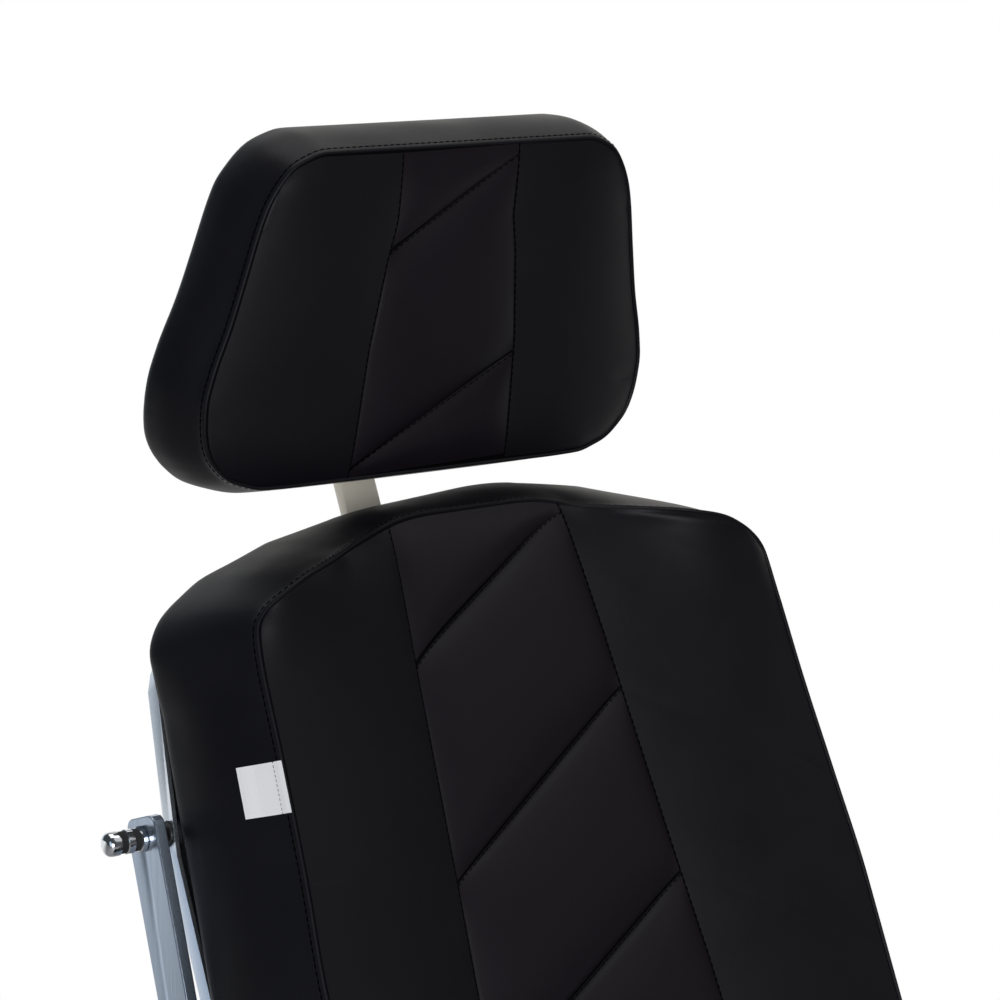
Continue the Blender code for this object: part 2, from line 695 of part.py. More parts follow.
def make_back(back, looks):
    rear = BACK_THICK - BACK_PANEL
    board = rear + GAP
    rail_y = board + BACK_BOARD_T + GAP
    rail_rear = rail_y + BACK_RAIL_DEPTH
    low = BACK_TOP - BACK_LENGTH

    rail = [(rail_rear, EYE_R), (rail_rear, BACK_RAIL_TOP), (rail_y, BACK_RAIL_TOP), (rail_y, 1.5 * EYE_R)]
    rail += arc((0, 0), EYE_R, radians(80), radians(330), 14)
    inner = BACK_RAIL_OUT - BACK_RAIL_T
    rails = {}
    for side, name in ((-1, "left"), (1, "right")):
        faces = sorted((side * inner, side * BACK_RAIL_OUT))
        plate = prism("back_rail_" + name, rail, *faces, "X", back, looks["painted"])
        rails[name] = plate
        bore = prism("back_rail_bore_" + name, circle(HINGE_PIN_R + RUN), faces[0] - 0.01, faces[1] + 0.01,
                     "X", back, None)
        cut(plate, bore)
    tie = BACK_CROSSBAR_HALF
    block("back_crossbar", (GAP - inner, rail_y, BACK_CROSSBAR_Z - tie),
          (inner - GAP, rail_rear, BACK_CROSSBAR_Z + tie), back, looks["painted"])
    middle = (BACK_UPRIGHT + BACK_FLAT) / 2
    make_lever("back_torque_tube", back, middle, BACK_TORQUE_TURN, BACK_HINGE[1] - BACK_DRIVE_Z,
               middle - BACK_UPRIGHT, -DRIVE_X, looks)

    board_mid = (low + BACK_RAIL_TOP) / 2 + 0.01
    prism("back_board", rounded(2 * BACK_BOARD_HALF, BACK_RAIL_TOP - low, 0.03, (0, board_mid)), board,
          board + BACK_BOARD_T, "Y", back, looks["wood"])

    slants = slanted_rows(BACK_LENGTH, BACK_FIRST_ROW, BACK_ROW_PITCH, BACK_ROW_SLANT, 4)
    rows = rising(slants, (0.2, 0.5), (0.6,))
    shoulder = ((0, 0), (0.053, 0), (0.070, 0.0045), (0.118, 0.022), (0.172, 0.042), (0.202, 0.058), (0.3, 0.1))
    widths = ((0, 0.202), (0.022, 0.212), (0.09, 0.216), (0.25, 0.2255), (0.53, 0.2265), (BACK_LENGTH, 0.214))
    seams = ((0, 0.070), (0.10, 0.078), (0.25, 0.088), (0.33, 0.094), (BACK_LENGTH, 0.104))

    def bulge(s, fall):
        wide = between(fall, widths)
        rise = BACK_BOLSTER + BACK_SHOULDER * exp(-((fall - 0.045) / 0.030) ** 2)
        return rise * ease((s - 0.070) / (0.94 * wide - 0.070))

    grid = sewn_front(rows, BACK_LENGTH, lambda f: between(f, widths), lambda f: between(f, seams),
                      lambda s: between(s, shoulder), bulge)
    padded("back_cushion", grid, BACK_THICK, BACK_FLARE,
           lambda s, f, d: (s, -BACK_PANEL - d, BACK_TOP - f), back, looks["vinyl"])
    shell = make_back_shell(back, looks, rear + GAP)
    make_arm_pivots(back, shell, rails, looks)


def shell_outline(inset):
    low, high = SHELL_LOW + inset, SHELL_TOP - inset
    foot, crown = SHELL_HALF_LOW - inset, SHELL_HALF_TOP - inset
    corner = max(SHELL_CORNER - inset, 0.006)
    right = [(foot - 0.010, low), (foot, low + 0.010), (SHELL_HALF_WAIST - inset, SHELL_WAIST)]
    right += arc((crown - corner, high - corner), corner, 0, pi / 2, 6)
    return right + mirrored(right)


def make_back_shell(back, looks, front):
    floor = front + SHELL_DEPTH
    rim = front + SHELL_RIM
    loops = [lay(shell_outline(SHELL_WALL + SHELL_SLOPE), floor - SHELL_WALL, "Y"),
             lay(shell_outline(SHELL_WALL), rim, "Y"), lay(shell_outline(SHELL_WALL), front, "Y"),
             lay(shell_outline(0), front, "Y"), lay(shell_outline(0), rim, "Y"),
             lay(shell_outline(SHELL_SLOPE), floor, "Y")]
    shell = loft("back_shell", loops, back, looks["steel"])
    clear = BACK_RAIL_OUT + 0.008
    foot = block("shell_foot", (-clear, front - 0.01, SHELL_LOW - 0.01),
                 (clear, floor - SHELL_WALL - GAP, SHELL_LOW + SHELL_SLOPE + 0.02), back, None)
    cut(shell, foot)
    return shell


def make_arm_pivots(back, shell, rails, looks):
    """Stub axles on the back rails, with a spacer inside each arm bar and a turned stud outside it."""
    pivot_y, pivot_z = ARM_PIVOT_BEHIND - BACK_PANEL, BACK_TOP - ARM_PIVOT_DOWN
    centre = (pivot_y, pivot_z)
    shell_sides = ((SHELL_LOW, SHELL_HALF_LOW), (SHELL_WAIST, SHELL_HALF_WAIST),
                   (SHELL_TOP - SHELL_CORNER, SHELL_HALF_TOP))
    boss_end = between(pivot_z, shell_sides) + ARM_BOSS_PROUD
    outer = ARM_INNER + ARM_BAR_T
    for side, name in ((-1, "left"), (1, "right")):
        steps = ((ARM_BOSS_R, BACK_RAIL_OUT - 0.003), (ARM_BOSS_R, boss_end), (ARM_NECK_R, boss_end),
                 (ARM_NECK_R, outer + GAP))
        axle = turned("arm_axle_" + name, [(r, side * x) for r, x in steps], "X", centre, back, None)
        weld(rails[name], axle)
        low, high = boss_end + GAP, ARM_INNER - GAP
        ring = ((ARM_NECK_R + RUN, low), (ARM_SPACER_R, low), (ARM_SPACER_R, high), (ARM_NECK_R + RUN, high))
        turned("arm_spacer_" + name, [(r, side * x) for r, x in ring], "X", centre, back, looks["black"],
               hollow=True)
        hole = prism("shell_boss_hole_" + name, circle(ARM_BOSS_R + GAP, centre), side * BACK_RAIL_OUT,
                     side * ARM_INNER, "X", back, None)
        cut(shell, hole)
        start = outer + 2 * GAP
        steps = ((1.05, 0), (1.05, 0.10), (0.80, 0.13), (0.80, 0.28), (1.0, 0.31), (1.0, 0.47), (0.80, 0.50),
                 (0.80, 0.63), (1.0, 0.66), (1.0, 0.80), (0.86, 0.92), (0.50, 1.0))
        profile = [(STUD_R * r, side * (start + STUD_LENGTH * x)) for r, x in steps]
        turned("arm_stud_" + name, profile, "X", centre, back, looks["chrome"])


def make_head_mount(back, slide, knob_turn, pivot_at, looks):
    front = HEAD_BAR_BEHIND - BACK_PANEL
    rear = front + HEAD_BAR_T
    half = HEAD_BAR_WIDTH / 2
    shell_rear = BACK_THICK - BACK_PANEL + 2 * GAP + SHELL_DEPTH
    outer_rear = rear + GAP + SOCKET_WALL
    top = BACK_TOP + SOCKET_TOP
    low = top - SOCKET_LENGTH
    outer = rounded(2 * (half + GAP + SOCKET_WALL), outer_rear - shell_rear, SOCKET_CORNER,
                    (0, (outer_rear + shell_rear) / 2), 2)
    inner = rounded(2 * (half + GAP), HEAD_BAR_T + 2 * GAP, HEAD_BAR_CORNER, (0, (front + rear) / 2), 2)
    wall = [lay(outer, low, "Z"), lay(outer, top, "Z"), lay(inner, top, "Z"), lay(inner, low, "Z")]
    socket = loft("head_socket", wall, back, looks["painted"], closed=True)
    middle = (low + top) / 2
    screw_hole = prism("socket_screw_hole", circle(KNOB_SCREW_R + RUN, (0, middle)), rear + GAP / 2,
                       outer_rear + 0.01, "Y", back, None)
    cut(socket, screw_hole)

    bar_top = BACK_TOP + HEAD_BAR_TOP
    bar = prism("head_bar", rounded(HEAD_BAR_WIDTH, HEAD_BAR_T, HEAD_BAR_CORNER, (0, (front + rear) / 2), 2),
                top - HEAD_BAR_KEPT - HEAD_TRAVEL, bar_top, "Z", slide, looks["steel"])
    knuckle = prism("head_knuckle", link(pivot_at, (front + HEAD_BAR_T / 2, pivot_at[1]), HEAD_KNUCKLE_R),
                    HEAD_BAR_CORNER - half, half - HEAD_BAR_CORNER, "X", slide, None)
    bore = prism("head_knuckle_bore", circle(HEAD_PIN_R + RUN, pivot_at), -2 * half, 2 * half, "X", slide, None)
    cut(weld(bar, knuckle), bore)

    def lobed(radius, y):
        turns = [2 * pi * i / 36 for i in range(36)]
        return [(radius * (1 + 0.07 * cos(6 * t)) * cos(t), y, radius * (1 + 0.07 * cos(6 * t)) * sin(t))
                for t in turns]

    def plain(radius, y):
        return [(radius * cos(2 * pi * i / 36), y, radius * sin(2 * pi * i / 36)) for i in range(36)]

    face = outer_rear + 2 * GAP - rear
    loops = [plain(KNOB_SCREW_R, 2 * GAP), plain(KNOB_SCREW_R, face), plain(0.6 * KNOB_RADIUS, face),
             lobed(KNOB_RADIUS, face + 0.35 * KNOB_LENGTH), lobed(KNOB_RADIUS, face + 0.8 * KNOB_LENGTH),
             plain(0.7 * KNOB_RADIUS, face + KNOB_LENGTH)]
    knob_turn.location = (0, rear, middle)
    loft("head_knob", loops, knob_turn, looks["black"])


def make_headrest(head, looks):
    """Pieces of the headrest about its hinge: y is behind it and z up along it."""
    shell_rear = -HEAD_PIVOT_BEHIND
    shell_front = shell_rear - HEAD_SHELL_T
    pad_rear = shell_front - GAP
    top = HEAD_HEIGHT - HEAD_PIVOT_UP
    tall = HEAD_HEIGHT
    widths = ((0, 0.108), (0.005, 0.128), (0.016, 0.141), (0.034, HEAD_HALF_TOP), (0.172, HEAD_HALF_LOW),
              (0.196, 0.184), (0.212, 0.174), (0.224, 0.158), (tall, 0.132))
    seams = ((0, 0.047), (0.05, 0.047), (0.075, 0.052), (0.14, 0.060), (tall, 0.065))
    rows = rising(slanted_rows(tall, 0.007, 0.145, 0.070, 2), (0.12, 0.35, 0.7), (0.5, 0.8))
    grid = sewn_front(rows, tall, lambda f: between(f, widths), lambda f: between(f, seams), lambda s: 0.0,
                      lambda s, f: -0.006 * ease((s - 0.10) / 0.09))
    padded("headrest_cushion", grid, HEAD_THICK, HEAD_FLARE,
           lambda s, f, d: (s, pad_rear - HEAD_THICK - d, top - f), head, looks["vinyl"])
    inset = 0.006
    right = [(half - inset, top - inset - f * (1 - 2 * inset / tall)) for f, half in widths]
    prism("headrest_shell", right + mirrored(right), shell_front, shell_rear, "Y", head, looks["grey"])

    wide, high, thick = HEAD_BRACKET
    half = HEAD_BAR_WIDTH / 2
    plate = prism("headrest_bracket", rounded(wide, high, 0.010, (0, high / 2 - HEAD_PIVOT_UP + 0.012)),
                  shell_rear + GAP, shell_rear + GAP + thick, "Y", head, looks["painted"])
    for side, name in ((-1, "left"), (1, "right")):
        faces = sorted((side * (half + GAP), side * (half + GAP + thick)))
        ear = prism("headrest_ear_" + name, link((0, 0), (shell_rear + thick, 0), HEAD_EAR_R), *faces, "X",
                    head, None)
        weld(plate, ear)
    reach = half + 2 * thick
    bore = prism("headrest_bracket_bore", circle(HEAD_PIN_R + RUN), -reach, reach, "X", head, None)
    flat = block("headrest_bracket_face", (-wide, shell_rear - 0.030, -high), (wide, shell_rear + GAP, high),
                 head, None)
    cut(cut(plate, bore), flat)
    pin_end = half + thick + 0.003
    turned("headrest_pin", [(HEAD_PIN_R, -pin_end), (HEAD_PIN_R, pin_end)], "X", (0, 0), head, looks["steel"])


def make_arm(arm, side, name, looks):
    """Arm bar about its pivot, with a level foot, a flange and a pad."""
    forward = Vector((-cos(ARM_TREAD), -sin(ARM_TREAD)))
    upward = Vector((-sin(ARM_TREAD), cos(ARM_TREAD)))
    elbow = Vector((0, -ARM_DROP))

    def spot(along, up):
        return elbow + forward * along + upward * up

    half = ARM_BAR_WIDTH / 2
    rise = ARM_FOOT_HEIGHT / 2
    corner = 0.008
    bend = (half - rise * sin(ARM_TREAD)) / cos(ARM_TREAD)
    outline = arc((half - corner, ARM_TOP_MARGIN - corner), corner, 0, pi / 2, 3)
    outline += arc((corner - half, ARM_TOP_MARGIN - corner), corner, pi / 2, pi, 3)
    outline += [spot(bend, rise), spot(ARM_FOOT_LENGTH, rise), spot(ARM_FOOT_LENGTH, -rise), spot(-bend, -rise)]
    outer = ARM_INNER + ARM_BAR_T
    bar = prism("arm_bar_" + name, outline, *sorted((side * ARM_INNER, side * outer)), "X", arm, looks["steel"])
    bore = prism("arm_bore_" + name, circle(ARM_NECK_R + RUN), side * (ARM_INNER - 0.01), side * (outer + 0.01),
                 "X", arm, None)
    wide, long, thick = ARM_FLANGE
    start = ARM_FOOT_LENGTH - long - 0.010
    plate = [spot(start, rise - 0.004), spot(start + long, rise - 0.004), spot(start + long, rise + thick),
             spot(start, rise + thick)]
    flange = prism("arm_flange_" + name, plate, side * (ARM_INNER + 0.001), side * (ARM_INNER + wide), "X",
                   arm, None)
    cut(weld(bar, flange), bore)

    wide, long, thick = ARM_PAD
    seat = rise + ARM_FLANGE[2] + GAP
    middle = start + ARM_FLANGE[1] / 2
    across = side * (ARM_INNER + wide / 2 + 0.001)
    loops = []
    profile = ((0, 0.005), (0.12, 0.001), (0.35, 0.0015), (0.62, 0), (0.82, 0.004), (0.95, 0.011), (1, 0.020))
    for share, inset in profile:
        ring = rounded(wide - 2 * inset, long - 2 * inset, 0.030 - inset)
        points = [(across + x, *spot(middle + y, seat + thick * share)) for x, y in ring]
        loops.append(points)
    loft("arm_pad_" + name, loops, arm, looks["vinyl"])


def make_leg(leg, looks):
    eye = DECK_Z + TOP_PLATE[2] + GAP + CROSSBAR_HEIGHT - LEG_HINGE[1]
    inner = BACK_RAIL_OUT - LEG_RAIL_T
    for side, name in ((-1, "left"), (1, "right")):
        faces = sorted((side * inner, side * BACK_RAIL_OUT))
        rail = prism("leg_rail_" + name, link((0, 0), (LEG_RAIL_SHORT - LEG_LENGTH, 0), eye), *faces, "X", leg,
                     looks["painted"])
        bore = prism("leg_rail_bore_" + name, circle(HINGE_PIN_R + RUN), faces[0] - 0.01, faces[1] + 0.01, "X",
                     leg, None)
        cut(rail, bore)
    middle = LEG_LOWEST / 2
    make_lever("leg_torque_tube", leg, -middle, -middle, LEG_HINGE[1] - LEG_DRIVE_Z, middle, DRIVE_X, looks)
    start = LEG_FRONT_GAP + LEG_FLARE
    long = LEG_LENGTH - start - LEG_FLARE
    board_low = eye + GAP
    prism("leg_board", rounded(2 * BOARD_HALF, long, BOARD_CORNER, (0, -start - long / 2)), board_low,
          board_low + BOARD_T, "Z", leg, looks["wood"])
    pad_low = board_low + BOARD_T + GAP
    rows = rising(slanted_rows(long, LEG_FIRST_ROW, ROW_PITCH, ROW_SLANT, 3), (0.15, 0.5), (0.5, 0.85))
    widths = ((0, LEG_HALF - 0.03), (0.02, LEG_HALF - 0.006), (0.05, LEG_HALF), (long - 0.08, LEG_HALF - 0.012),
              (long - 0.03, LEG_HALF - 0.022), (long, LEG_HALF - 0.055))
    seams = ((0, SEAT_SEAM), (long, 0.086))
    grid = sewn_front(rows, long, lambda f: between(f, widths), lambda f: between(f, seams), lambda s: 0.0,
                      lambda s, f: -SEAT_CROWN * ease((s - 0.130) / 0.070))
    padded("leg_cushion", grid, LEG_THICK, LEG_FLARE,
           lambda s, f, d: (s, -start - f, pad_low + LEG_THICK + d), leg, looks["vinyl"])


def make_drive(name, x, z, ends, mouth, lug_y, tail, pin_y, carriage, slide, looks):
    """Linear drive along Y: ends are its tube's closed and open ends, mouth the way that its rod points."""
    closed, opening = ends
    bore = DRIVE_ROD_R + RUN
    body = turned(name + "_actuator", [(DRIVE_TUBE_R, closed), (DRIVE_TUBE_R, opening), (bore, opening),
                                       (bore, closed + mouth * 0.012)], "Y", (x, z), carriage, looks["black"])
    wide, long, tall = MOTOR_BOX
    box_ends = sorted((closed, closed + mouth * long))
    box = block(name + "_motor", (x - wide / 2, box_ends[0] + 0.003, z - tall),
                (x + wide / 2, box_ends[1], z - bore - 0.003), carriage, None)
    hanger = DECK_Z + TOP_PLATE[2]
    lug = block(name + "_lug", (x - 0.012, lug_y - 0.014, z + bore + 0.003),
                (x + 0.012, lug_y + 0.014, hanger), carriage, None)
    weld(weld(body, box), lug)

    ear_in = LEVER_T / 2 + FORK_GAP
    ear_out = ear_in + FORK_EAR_T
    reach = FORK_REACH * mouth
    base = pin_y - reach
    tip = pin_y + mouth * FORK_R
    foot = base - mouth * 0.012
    fork = [(x - ear_out, foot), (x + ear_out, foot), (x + ear_out, tip), (x + ear_in, tip), (x + ear_in, base),
            (x - ear_in, base), (x - ear_in, tip), (x - ear_out, tip)]
    rod = prism(name + "_actuator_rod", fork, z - FORK_R, z + FORK_R, "Z", slide, looks["steel"])
    shaft_ends = [(DRIVE_ROD_R, tail), (DRIVE_ROD_R, foot + mouth * 0.006)]
    shaft = turned(name + "_shaft", shaft_ends, "Y", (x, z), slide, None)
    pin_ends = [(DRIVE_PIN_R, x - ear_out - 0.004), (DRIVE_PIN_R, x + ear_out + 0.004)]
    pin = turned(name + "_drive_pin", pin_ends, "X", (pin_y, z), slide, None)
    weld(weld(rod, shaft), pin)


def make_chair():
    clear_scene()
    looks = {
        "vinyl": finish("black_vinyl", (0.012, 0.012, 0.014), 0.42, 0.0),
        "steel": finish("brushed_stainless", (0.62, 0.63, 0.65), 0.30, 1.0),
        "chrome": finish("chrome", (0.78, 0.79, 0.80), 0.08, 1.0),
        "aluminium": finish("satin_aluminium", (0.60, 0.61, 0.62), 0.38, 1.0),
        "painted": finish("painted_steel", (0.045, 0.046, 0.048), 0.45, 0.0),
        "plastic": finish("grey_plastic", (0.28, 0.29, 0.30), 0.50, 0.0),
        "grey": finish("pale_plastic", (0.52, 0.53, 0.55), 0.40, 0.0),
        "black": finish("black_plastic", (0.020, 0.020, 0.021), 0.45, 0.0),
        "rubber": finish("rubber", (0.018, 0.018, 0.018), 0.80, 0.0),
        "wood": finish("plywood", (0.45, 0.30, 0.16), 0.65, 0.0),
    }
    root = pivot("chair", None, (0, CHAIR_SHIFT, 0))
    carriage = pivot("carriage", root)
    middle_lift = pivot("middle_lift", root)
    back = pivot("back_pivot", carriage, (0, *BACK_HINGE), -BACK_RECLINE)
    leg = pivot("leg_pivot", carriage, (0, *LEG_HINGE), LEG_DROP)

    make_base(root, looks)
    make_pedals(root, looks)
    make_column(root, carriage, middle_lift, looks)
    make_seat(carriage, looks)
    make_back(back, looks)
    make_leg(leg, looks)

    up, ahead = HEAD_FOOT
    behind = HEAD_THICK + GAP + HEAD_SHELL_T + HEAD_PIVOT_BEHIND
    pivot_at = (-BACK_PANEL - ahead + behind * cos(HEAD_LEAN) - HEAD_PIVOT_UP * sin(HEAD_LEAN),
                BACK_TOP + up + behind * sin(HEAD_LEAN) + HEAD_PIVOT_UP * cos(HEAD_LEAN))
    slide = pivot("head_slide", back)
    knob_turn = pivot("head_knob_turn", back)
    make_head_mount(back, slide, knob_turn, pivot_at, looks)
    make_headrest(pivot("head_pivot", slide, (0, *pivot_at), HEAD_LEAN), looks)

    shoulder = (0, ARM_PIVOT_BEHIND - BACK_PANEL, BACK_TOP - ARM_PIVOT_DOWN)
    for side, name in ((-1, "left"), (1, "right")):
        make_arm(pivot("arm_pivot_" + name, back, shoulder, ARM_UPRIGHT), side, name, looks)

    back_drop = BACK_HINGE[1] - BACK_DRIVE_Z
    back_turn = (BACK_UPRIGHT + BACK_FLAT) / 2 - BACK_RECLINE
    back_pin = BACK_HINGE[0] + back_drop * tan(back_turn) + BACK_PIN_LEAD
    make_drive("back", -DRIVE_X, BACK_DRIVE_Z, BACK_TUBE, 1, CROSSBAR_FRONT_Y, BACK_ROD_TAIL, back_pin,
               carriage, pivot("back_drive_slide", carriage), looks)
    leg_drop = LEG_HINGE[1] - LEG_DRIVE_Z
    leg_pin = LEG_HINGE[0] + leg_drop * tan(LEG_DROP - LEG_LOWEST / 2) + LEG_PIN_LEAD
    make_drive("leg", DRIVE_X, LEG_DRIVE_Z, LEG_TUBE[::-1], -1, CROSSBAR_REAR_Y, LEG_ROD_TAIL, leg_pin,
               carriage, pivot("leg_drive_slide", carriage), looks)


make_chair()
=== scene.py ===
"""Looks of the procedure chair: sewn vinyl pads, stitching, metal, plastic and a plain studio.

Lengths are in metres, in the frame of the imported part: the patient faces -Y and Z is up.
"""
import json
from math import cos, pi, radians, sin, tau

import bmesh
import bpy
import numpy as np
from mathutils import Matrix, Vector


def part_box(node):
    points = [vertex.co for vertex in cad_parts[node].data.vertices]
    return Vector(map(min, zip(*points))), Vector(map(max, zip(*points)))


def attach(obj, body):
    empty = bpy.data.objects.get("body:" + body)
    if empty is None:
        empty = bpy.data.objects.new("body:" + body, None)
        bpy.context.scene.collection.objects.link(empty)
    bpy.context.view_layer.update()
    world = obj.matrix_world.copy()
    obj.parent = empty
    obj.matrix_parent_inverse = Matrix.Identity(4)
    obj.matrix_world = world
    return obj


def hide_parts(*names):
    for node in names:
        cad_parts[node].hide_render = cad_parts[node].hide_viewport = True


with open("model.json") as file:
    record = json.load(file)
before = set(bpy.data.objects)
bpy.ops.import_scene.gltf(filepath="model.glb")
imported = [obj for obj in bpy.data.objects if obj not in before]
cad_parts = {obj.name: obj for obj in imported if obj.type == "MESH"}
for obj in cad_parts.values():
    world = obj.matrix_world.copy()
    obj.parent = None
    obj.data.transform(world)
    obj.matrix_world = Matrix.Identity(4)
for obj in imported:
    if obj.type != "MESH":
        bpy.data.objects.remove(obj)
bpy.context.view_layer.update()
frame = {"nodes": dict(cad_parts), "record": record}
behaviour = frame["record"]["behaviour"]
joints = {joint["name"]: joint for joint in behaviour["joints"]}
body_of_node = {node: body for body, nodes in behaviour["bodies"].items() for node in nodes}

# Lean of the pieces at rest
RECLINE = radians(25.5)
HEAD_LEAN = radians(36.7)
LEG_DROP = radians(60.0)

# Camera, from the top middle of the back's front panel
CAMERA_AT = Vector((-1.30202, -1.89307, 0.44388))
CAMERA_AIM = Vector((0.016377, -0.010208, 0.005408))
CAMERA_LENS = 122.4

# Sewing
STITCH_PITCH = 0.0050
STITCH_LENGTH = 0.0036
THREAD = 0.00042             # radius
THREAD_PROUD = 0.3           # share of that radius by which its middle stands above the cover
ROW_STEP = 0.0055            # mesh spacing on the pads
NEAR_SEAM = (0.0009, 0.0021, 0.0060)   # mesh rows beside a seam
SEAM_CREASE = 0.8

# Filling: how far from a sewn line it takes to rise
RIM_PULL = 0.014
SLANT_PULL = 0.0085
SEAM_PULL = 0.012

# Front panel: how far its ends pull the rows into their shape, as shares of its length
END_PULL = 0.22
END_HOLD = 0.45
END_FADE = 0.30

# Band round a pad
ROLL = 0.0031                # width of the roll between seam and topstitch
ROLL_RINGS = ((0.22, 0.0010), (0.52, 0.0013), (0.80, 0.0005), (0.98, -0.0010),
              (1.02, -0.0020), (1.04, -0.0028), (1.16, -0.0040), (1.34, -0.0066))  # share of ROLL, height
STITCH_RING = 5              # ring that carries the topstitch
BAND_STEP = 1.3 * ROW_STEP
REAR_TURN = 0.011            # radius of the rear edge
REAR_TURN_STEPS = 4
REAR_INSET = 0.030           # margin of the flat rear
REAR_HELD = 4                # last loops, which the board holds
SKEW_HALF = 0.2              # half width at which a pad's skew is given
SKEW_FALL = 0.05             # fall over which it fades

# Places in a pad's list of materials; the third is painted shade along the seams and the topstitch
COVER, CENTRE, SEAM_SHADE = range(3)


def tilted(joint, angle):
    """Frame on a joint's axis, turned about X."""
    return Matrix.Translation(joints[joint]["pos_m"]) @ Matrix.Rotation(angle, 4, "X")


BACK = tilted("back_recline", -RECLINE)
HEAD = tilted("head_tilt", HEAD_LEAN - RECLINE)
LEG = tilted("leg_raise", LEG_DROP)


# Materials


def colour(code):
    """Linear colour of an sRGB hex code."""
    parts = [int(code[i:i + 2], 16) / 255 for i in (1, 3, 5)]
    return (*(p / 12.92 if p <= 0.04045 else ((p + 0.055) / 1.055) ** 2.4 for p in parts), 1.0)


def add(tree, kind, inputs=None, **settings):
    """Add a node: settings are its properties, inputs its values or the sockets that feed it."""
    made = tree.nodes.new(kind)
    for name, value in settings.items():
        setattr(made, name, value)
    for name, value in (inputs or {}).items():
        if isinstance(value, bpy.types.NodeSocket):
            tree.links.new(value, made.inputs[name])
        else:
            made.inputs[name].default_value = value
    return made


def start(name, base, roughness, metallic=0.0):
    """A Principled material with its Object coordinates."""
    made = bpy.data.materials.new(name)
    made.use_nodes = True
    tree = made.node_tree
    shader = tree.nodes["Principled BSDF"]
    shader.inputs["Base Color"].default_value = colour(base)
    shader.inputs["Roughness"].default_value = roughness
    shader.inputs["Metallic"].default_value = metallic
    place = add(tree, "ShaderNodeTexCoord").outputs["Object"]
    return made, tree, shader, place


def vary(tree, shader, height, low, high, socket="Roughness"):
    """Let a 0 to 1 pattern move a shader value between low and high."""
    ranged = add(tree, "ShaderNodeMapRange", {"Value": height, "From Min": 0.3, "From Max": 0.7,
                                              "To Min": low, "To Max": high})
    tree.links.new(ranged.outputs["Result"], shader.inputs[socket])


def tint(tree, shader, amount, first, second):
    """Let a 0 to 1 pattern mix two colours into the base colour."""
    mix = add(tree, "ShaderNodeMix", {0: amount, 6: colour(first), 7: colour(second)}, data_type="RGBA")
    tree.links.new(mix.outputs[2], shader.inputs["Base Color"])


def bump(tree, shader, height, depth, strength=1.0):
    """Let a 0 to 1 pattern raise the surface, by depth at most."""
    made = add(tree, "ShaderNodeBump", {"Height": height, "Distance": depth, "Strength": strength})
    tree.links.new(made.outputs["Normal"], shader.inputs["Normal"])


def make_vinyl(name, dark, light):
    """Calendered PVC on knit backing: near black, soft satin sheen, fine pebble grain."""
    grain_size = 0.0011      # real grain is about half of this, drawn coarser so that it shows
    made, tree, shader, place = start(name, dark, 0.48)
    shader.inputs["Specular IOR Level"].default_value = 0.17
    grain = add(tree, "ShaderNodeTexVoronoi", {"Vector": place, "Scale": 1 / grain_size})
    cloud = add(tree, "ShaderNodeTexNoise", {"Vector": place, "Scale": 1 / 0.060, "Detail": 4.0})
    tint(tree, shader, cloud.outputs["Fac"], dark, light)
    vary(tree, shader, cloud.outputs["Fac"], 0.42, 0.52)
    bump(tree, shader, grain.outputs["Distance"], 0.00012, 0.35)
    return made


def make_painted_seam_shade():
    """Near-black copy of the vinyl for the faces along the seams and the topstitch: painted shade of the
    crease, where little light gets in, so it reads as a dark line.
    """
    made, tree, shader, place = start("black_vinyl_painted_seam_shade", "#040405", 0.7)
    shader.inputs["Specular IOR Level"].default_value = 0.05
    # noise varies the painted seam shade a little
    shade_noise = add(tree, "ShaderNodeTexNoise", {"Vector": place, "Scale": 1 / 0.006, "Detail": 2.0})
    tint(tree, shader, shade_noise.outputs["Fac"], "#030304", "#07070a")
    return made


def make_brushed(name, base, light, roughness, turn):
    """Satin stainless: belt ground along the piece, so reflections smear across fine lines."""
    line = 0.0006            # ground lines, drawn coarser than the real 0.1 mm so that they show
    made, tree, shader, place = start(name, base, roughness, 1.0)
    shader.inputs["Anisotropic"].default_value = 0.35
    across = add(tree, "ShaderNodeTangent", direction_type="RADIAL", axis="Z")
    tree.links.new(across.outputs["Tangent"], shader.inputs["Tangent"])
    along = add(tree, "ShaderNodeMapping", {"Vector": place, "Rotation": (turn, 0, 0),
                                            "Scale": (1 / line, 1 / line, 1 / 0.120)})
    lines = add(tree, "ShaderNodeTexNoise", {"Vector": along.outputs["Vector"], "Scale": 1.0, "Detail": 3.0})
    cloud = add(tree, "ShaderNodeTexNoise", {"Vector": place, "Scale": 1 / 0.040, "Detail": 2.0})
    vary(tree, shader, lines.outputs["Fac"], roughness - 0.04, roughness + 0.06)
    tint(tree, shader, cloud.outputs["Fac"], base, light)
    bump(tree, shader, lines.outputs["Fac"], 0.00002, 0.2)
    return made


def make_chrome(name, base, clear, hazy):
    """Bright chrome plate: mirror finish with faint handling haze."""
    made, tree, shader, place = start(name, base, clear, 1.0)
    haze = add(tree, "ShaderNodeTexNoise", {"Vector": place, "Scale": 1 / 0.008, "Detail": 3.0})
    vary(tree, shader, haze.outputs["Fac"], clear, hazy)
    return made


def make_painted_reflection_bar(name, base):
    """Pale warm bar under a clear coat, with little metal in it: the cream base is a painted reflection of
    warm bright surroundings, and it scatters most of the light that it gets.
    """
    made, tree, shader, place = start(name, base, 0.42, 0.12)
    shader.inputs["Coat Weight"].default_value = 0.3
    cloud = add(tree, "ShaderNodeTexNoise", {"Vector": place, "Scale": 1 / 0.020, "Detail": 3.0})
    vary(tree, shader, cloud.outputs["Fac"], 0.36, 0.48)
    return made


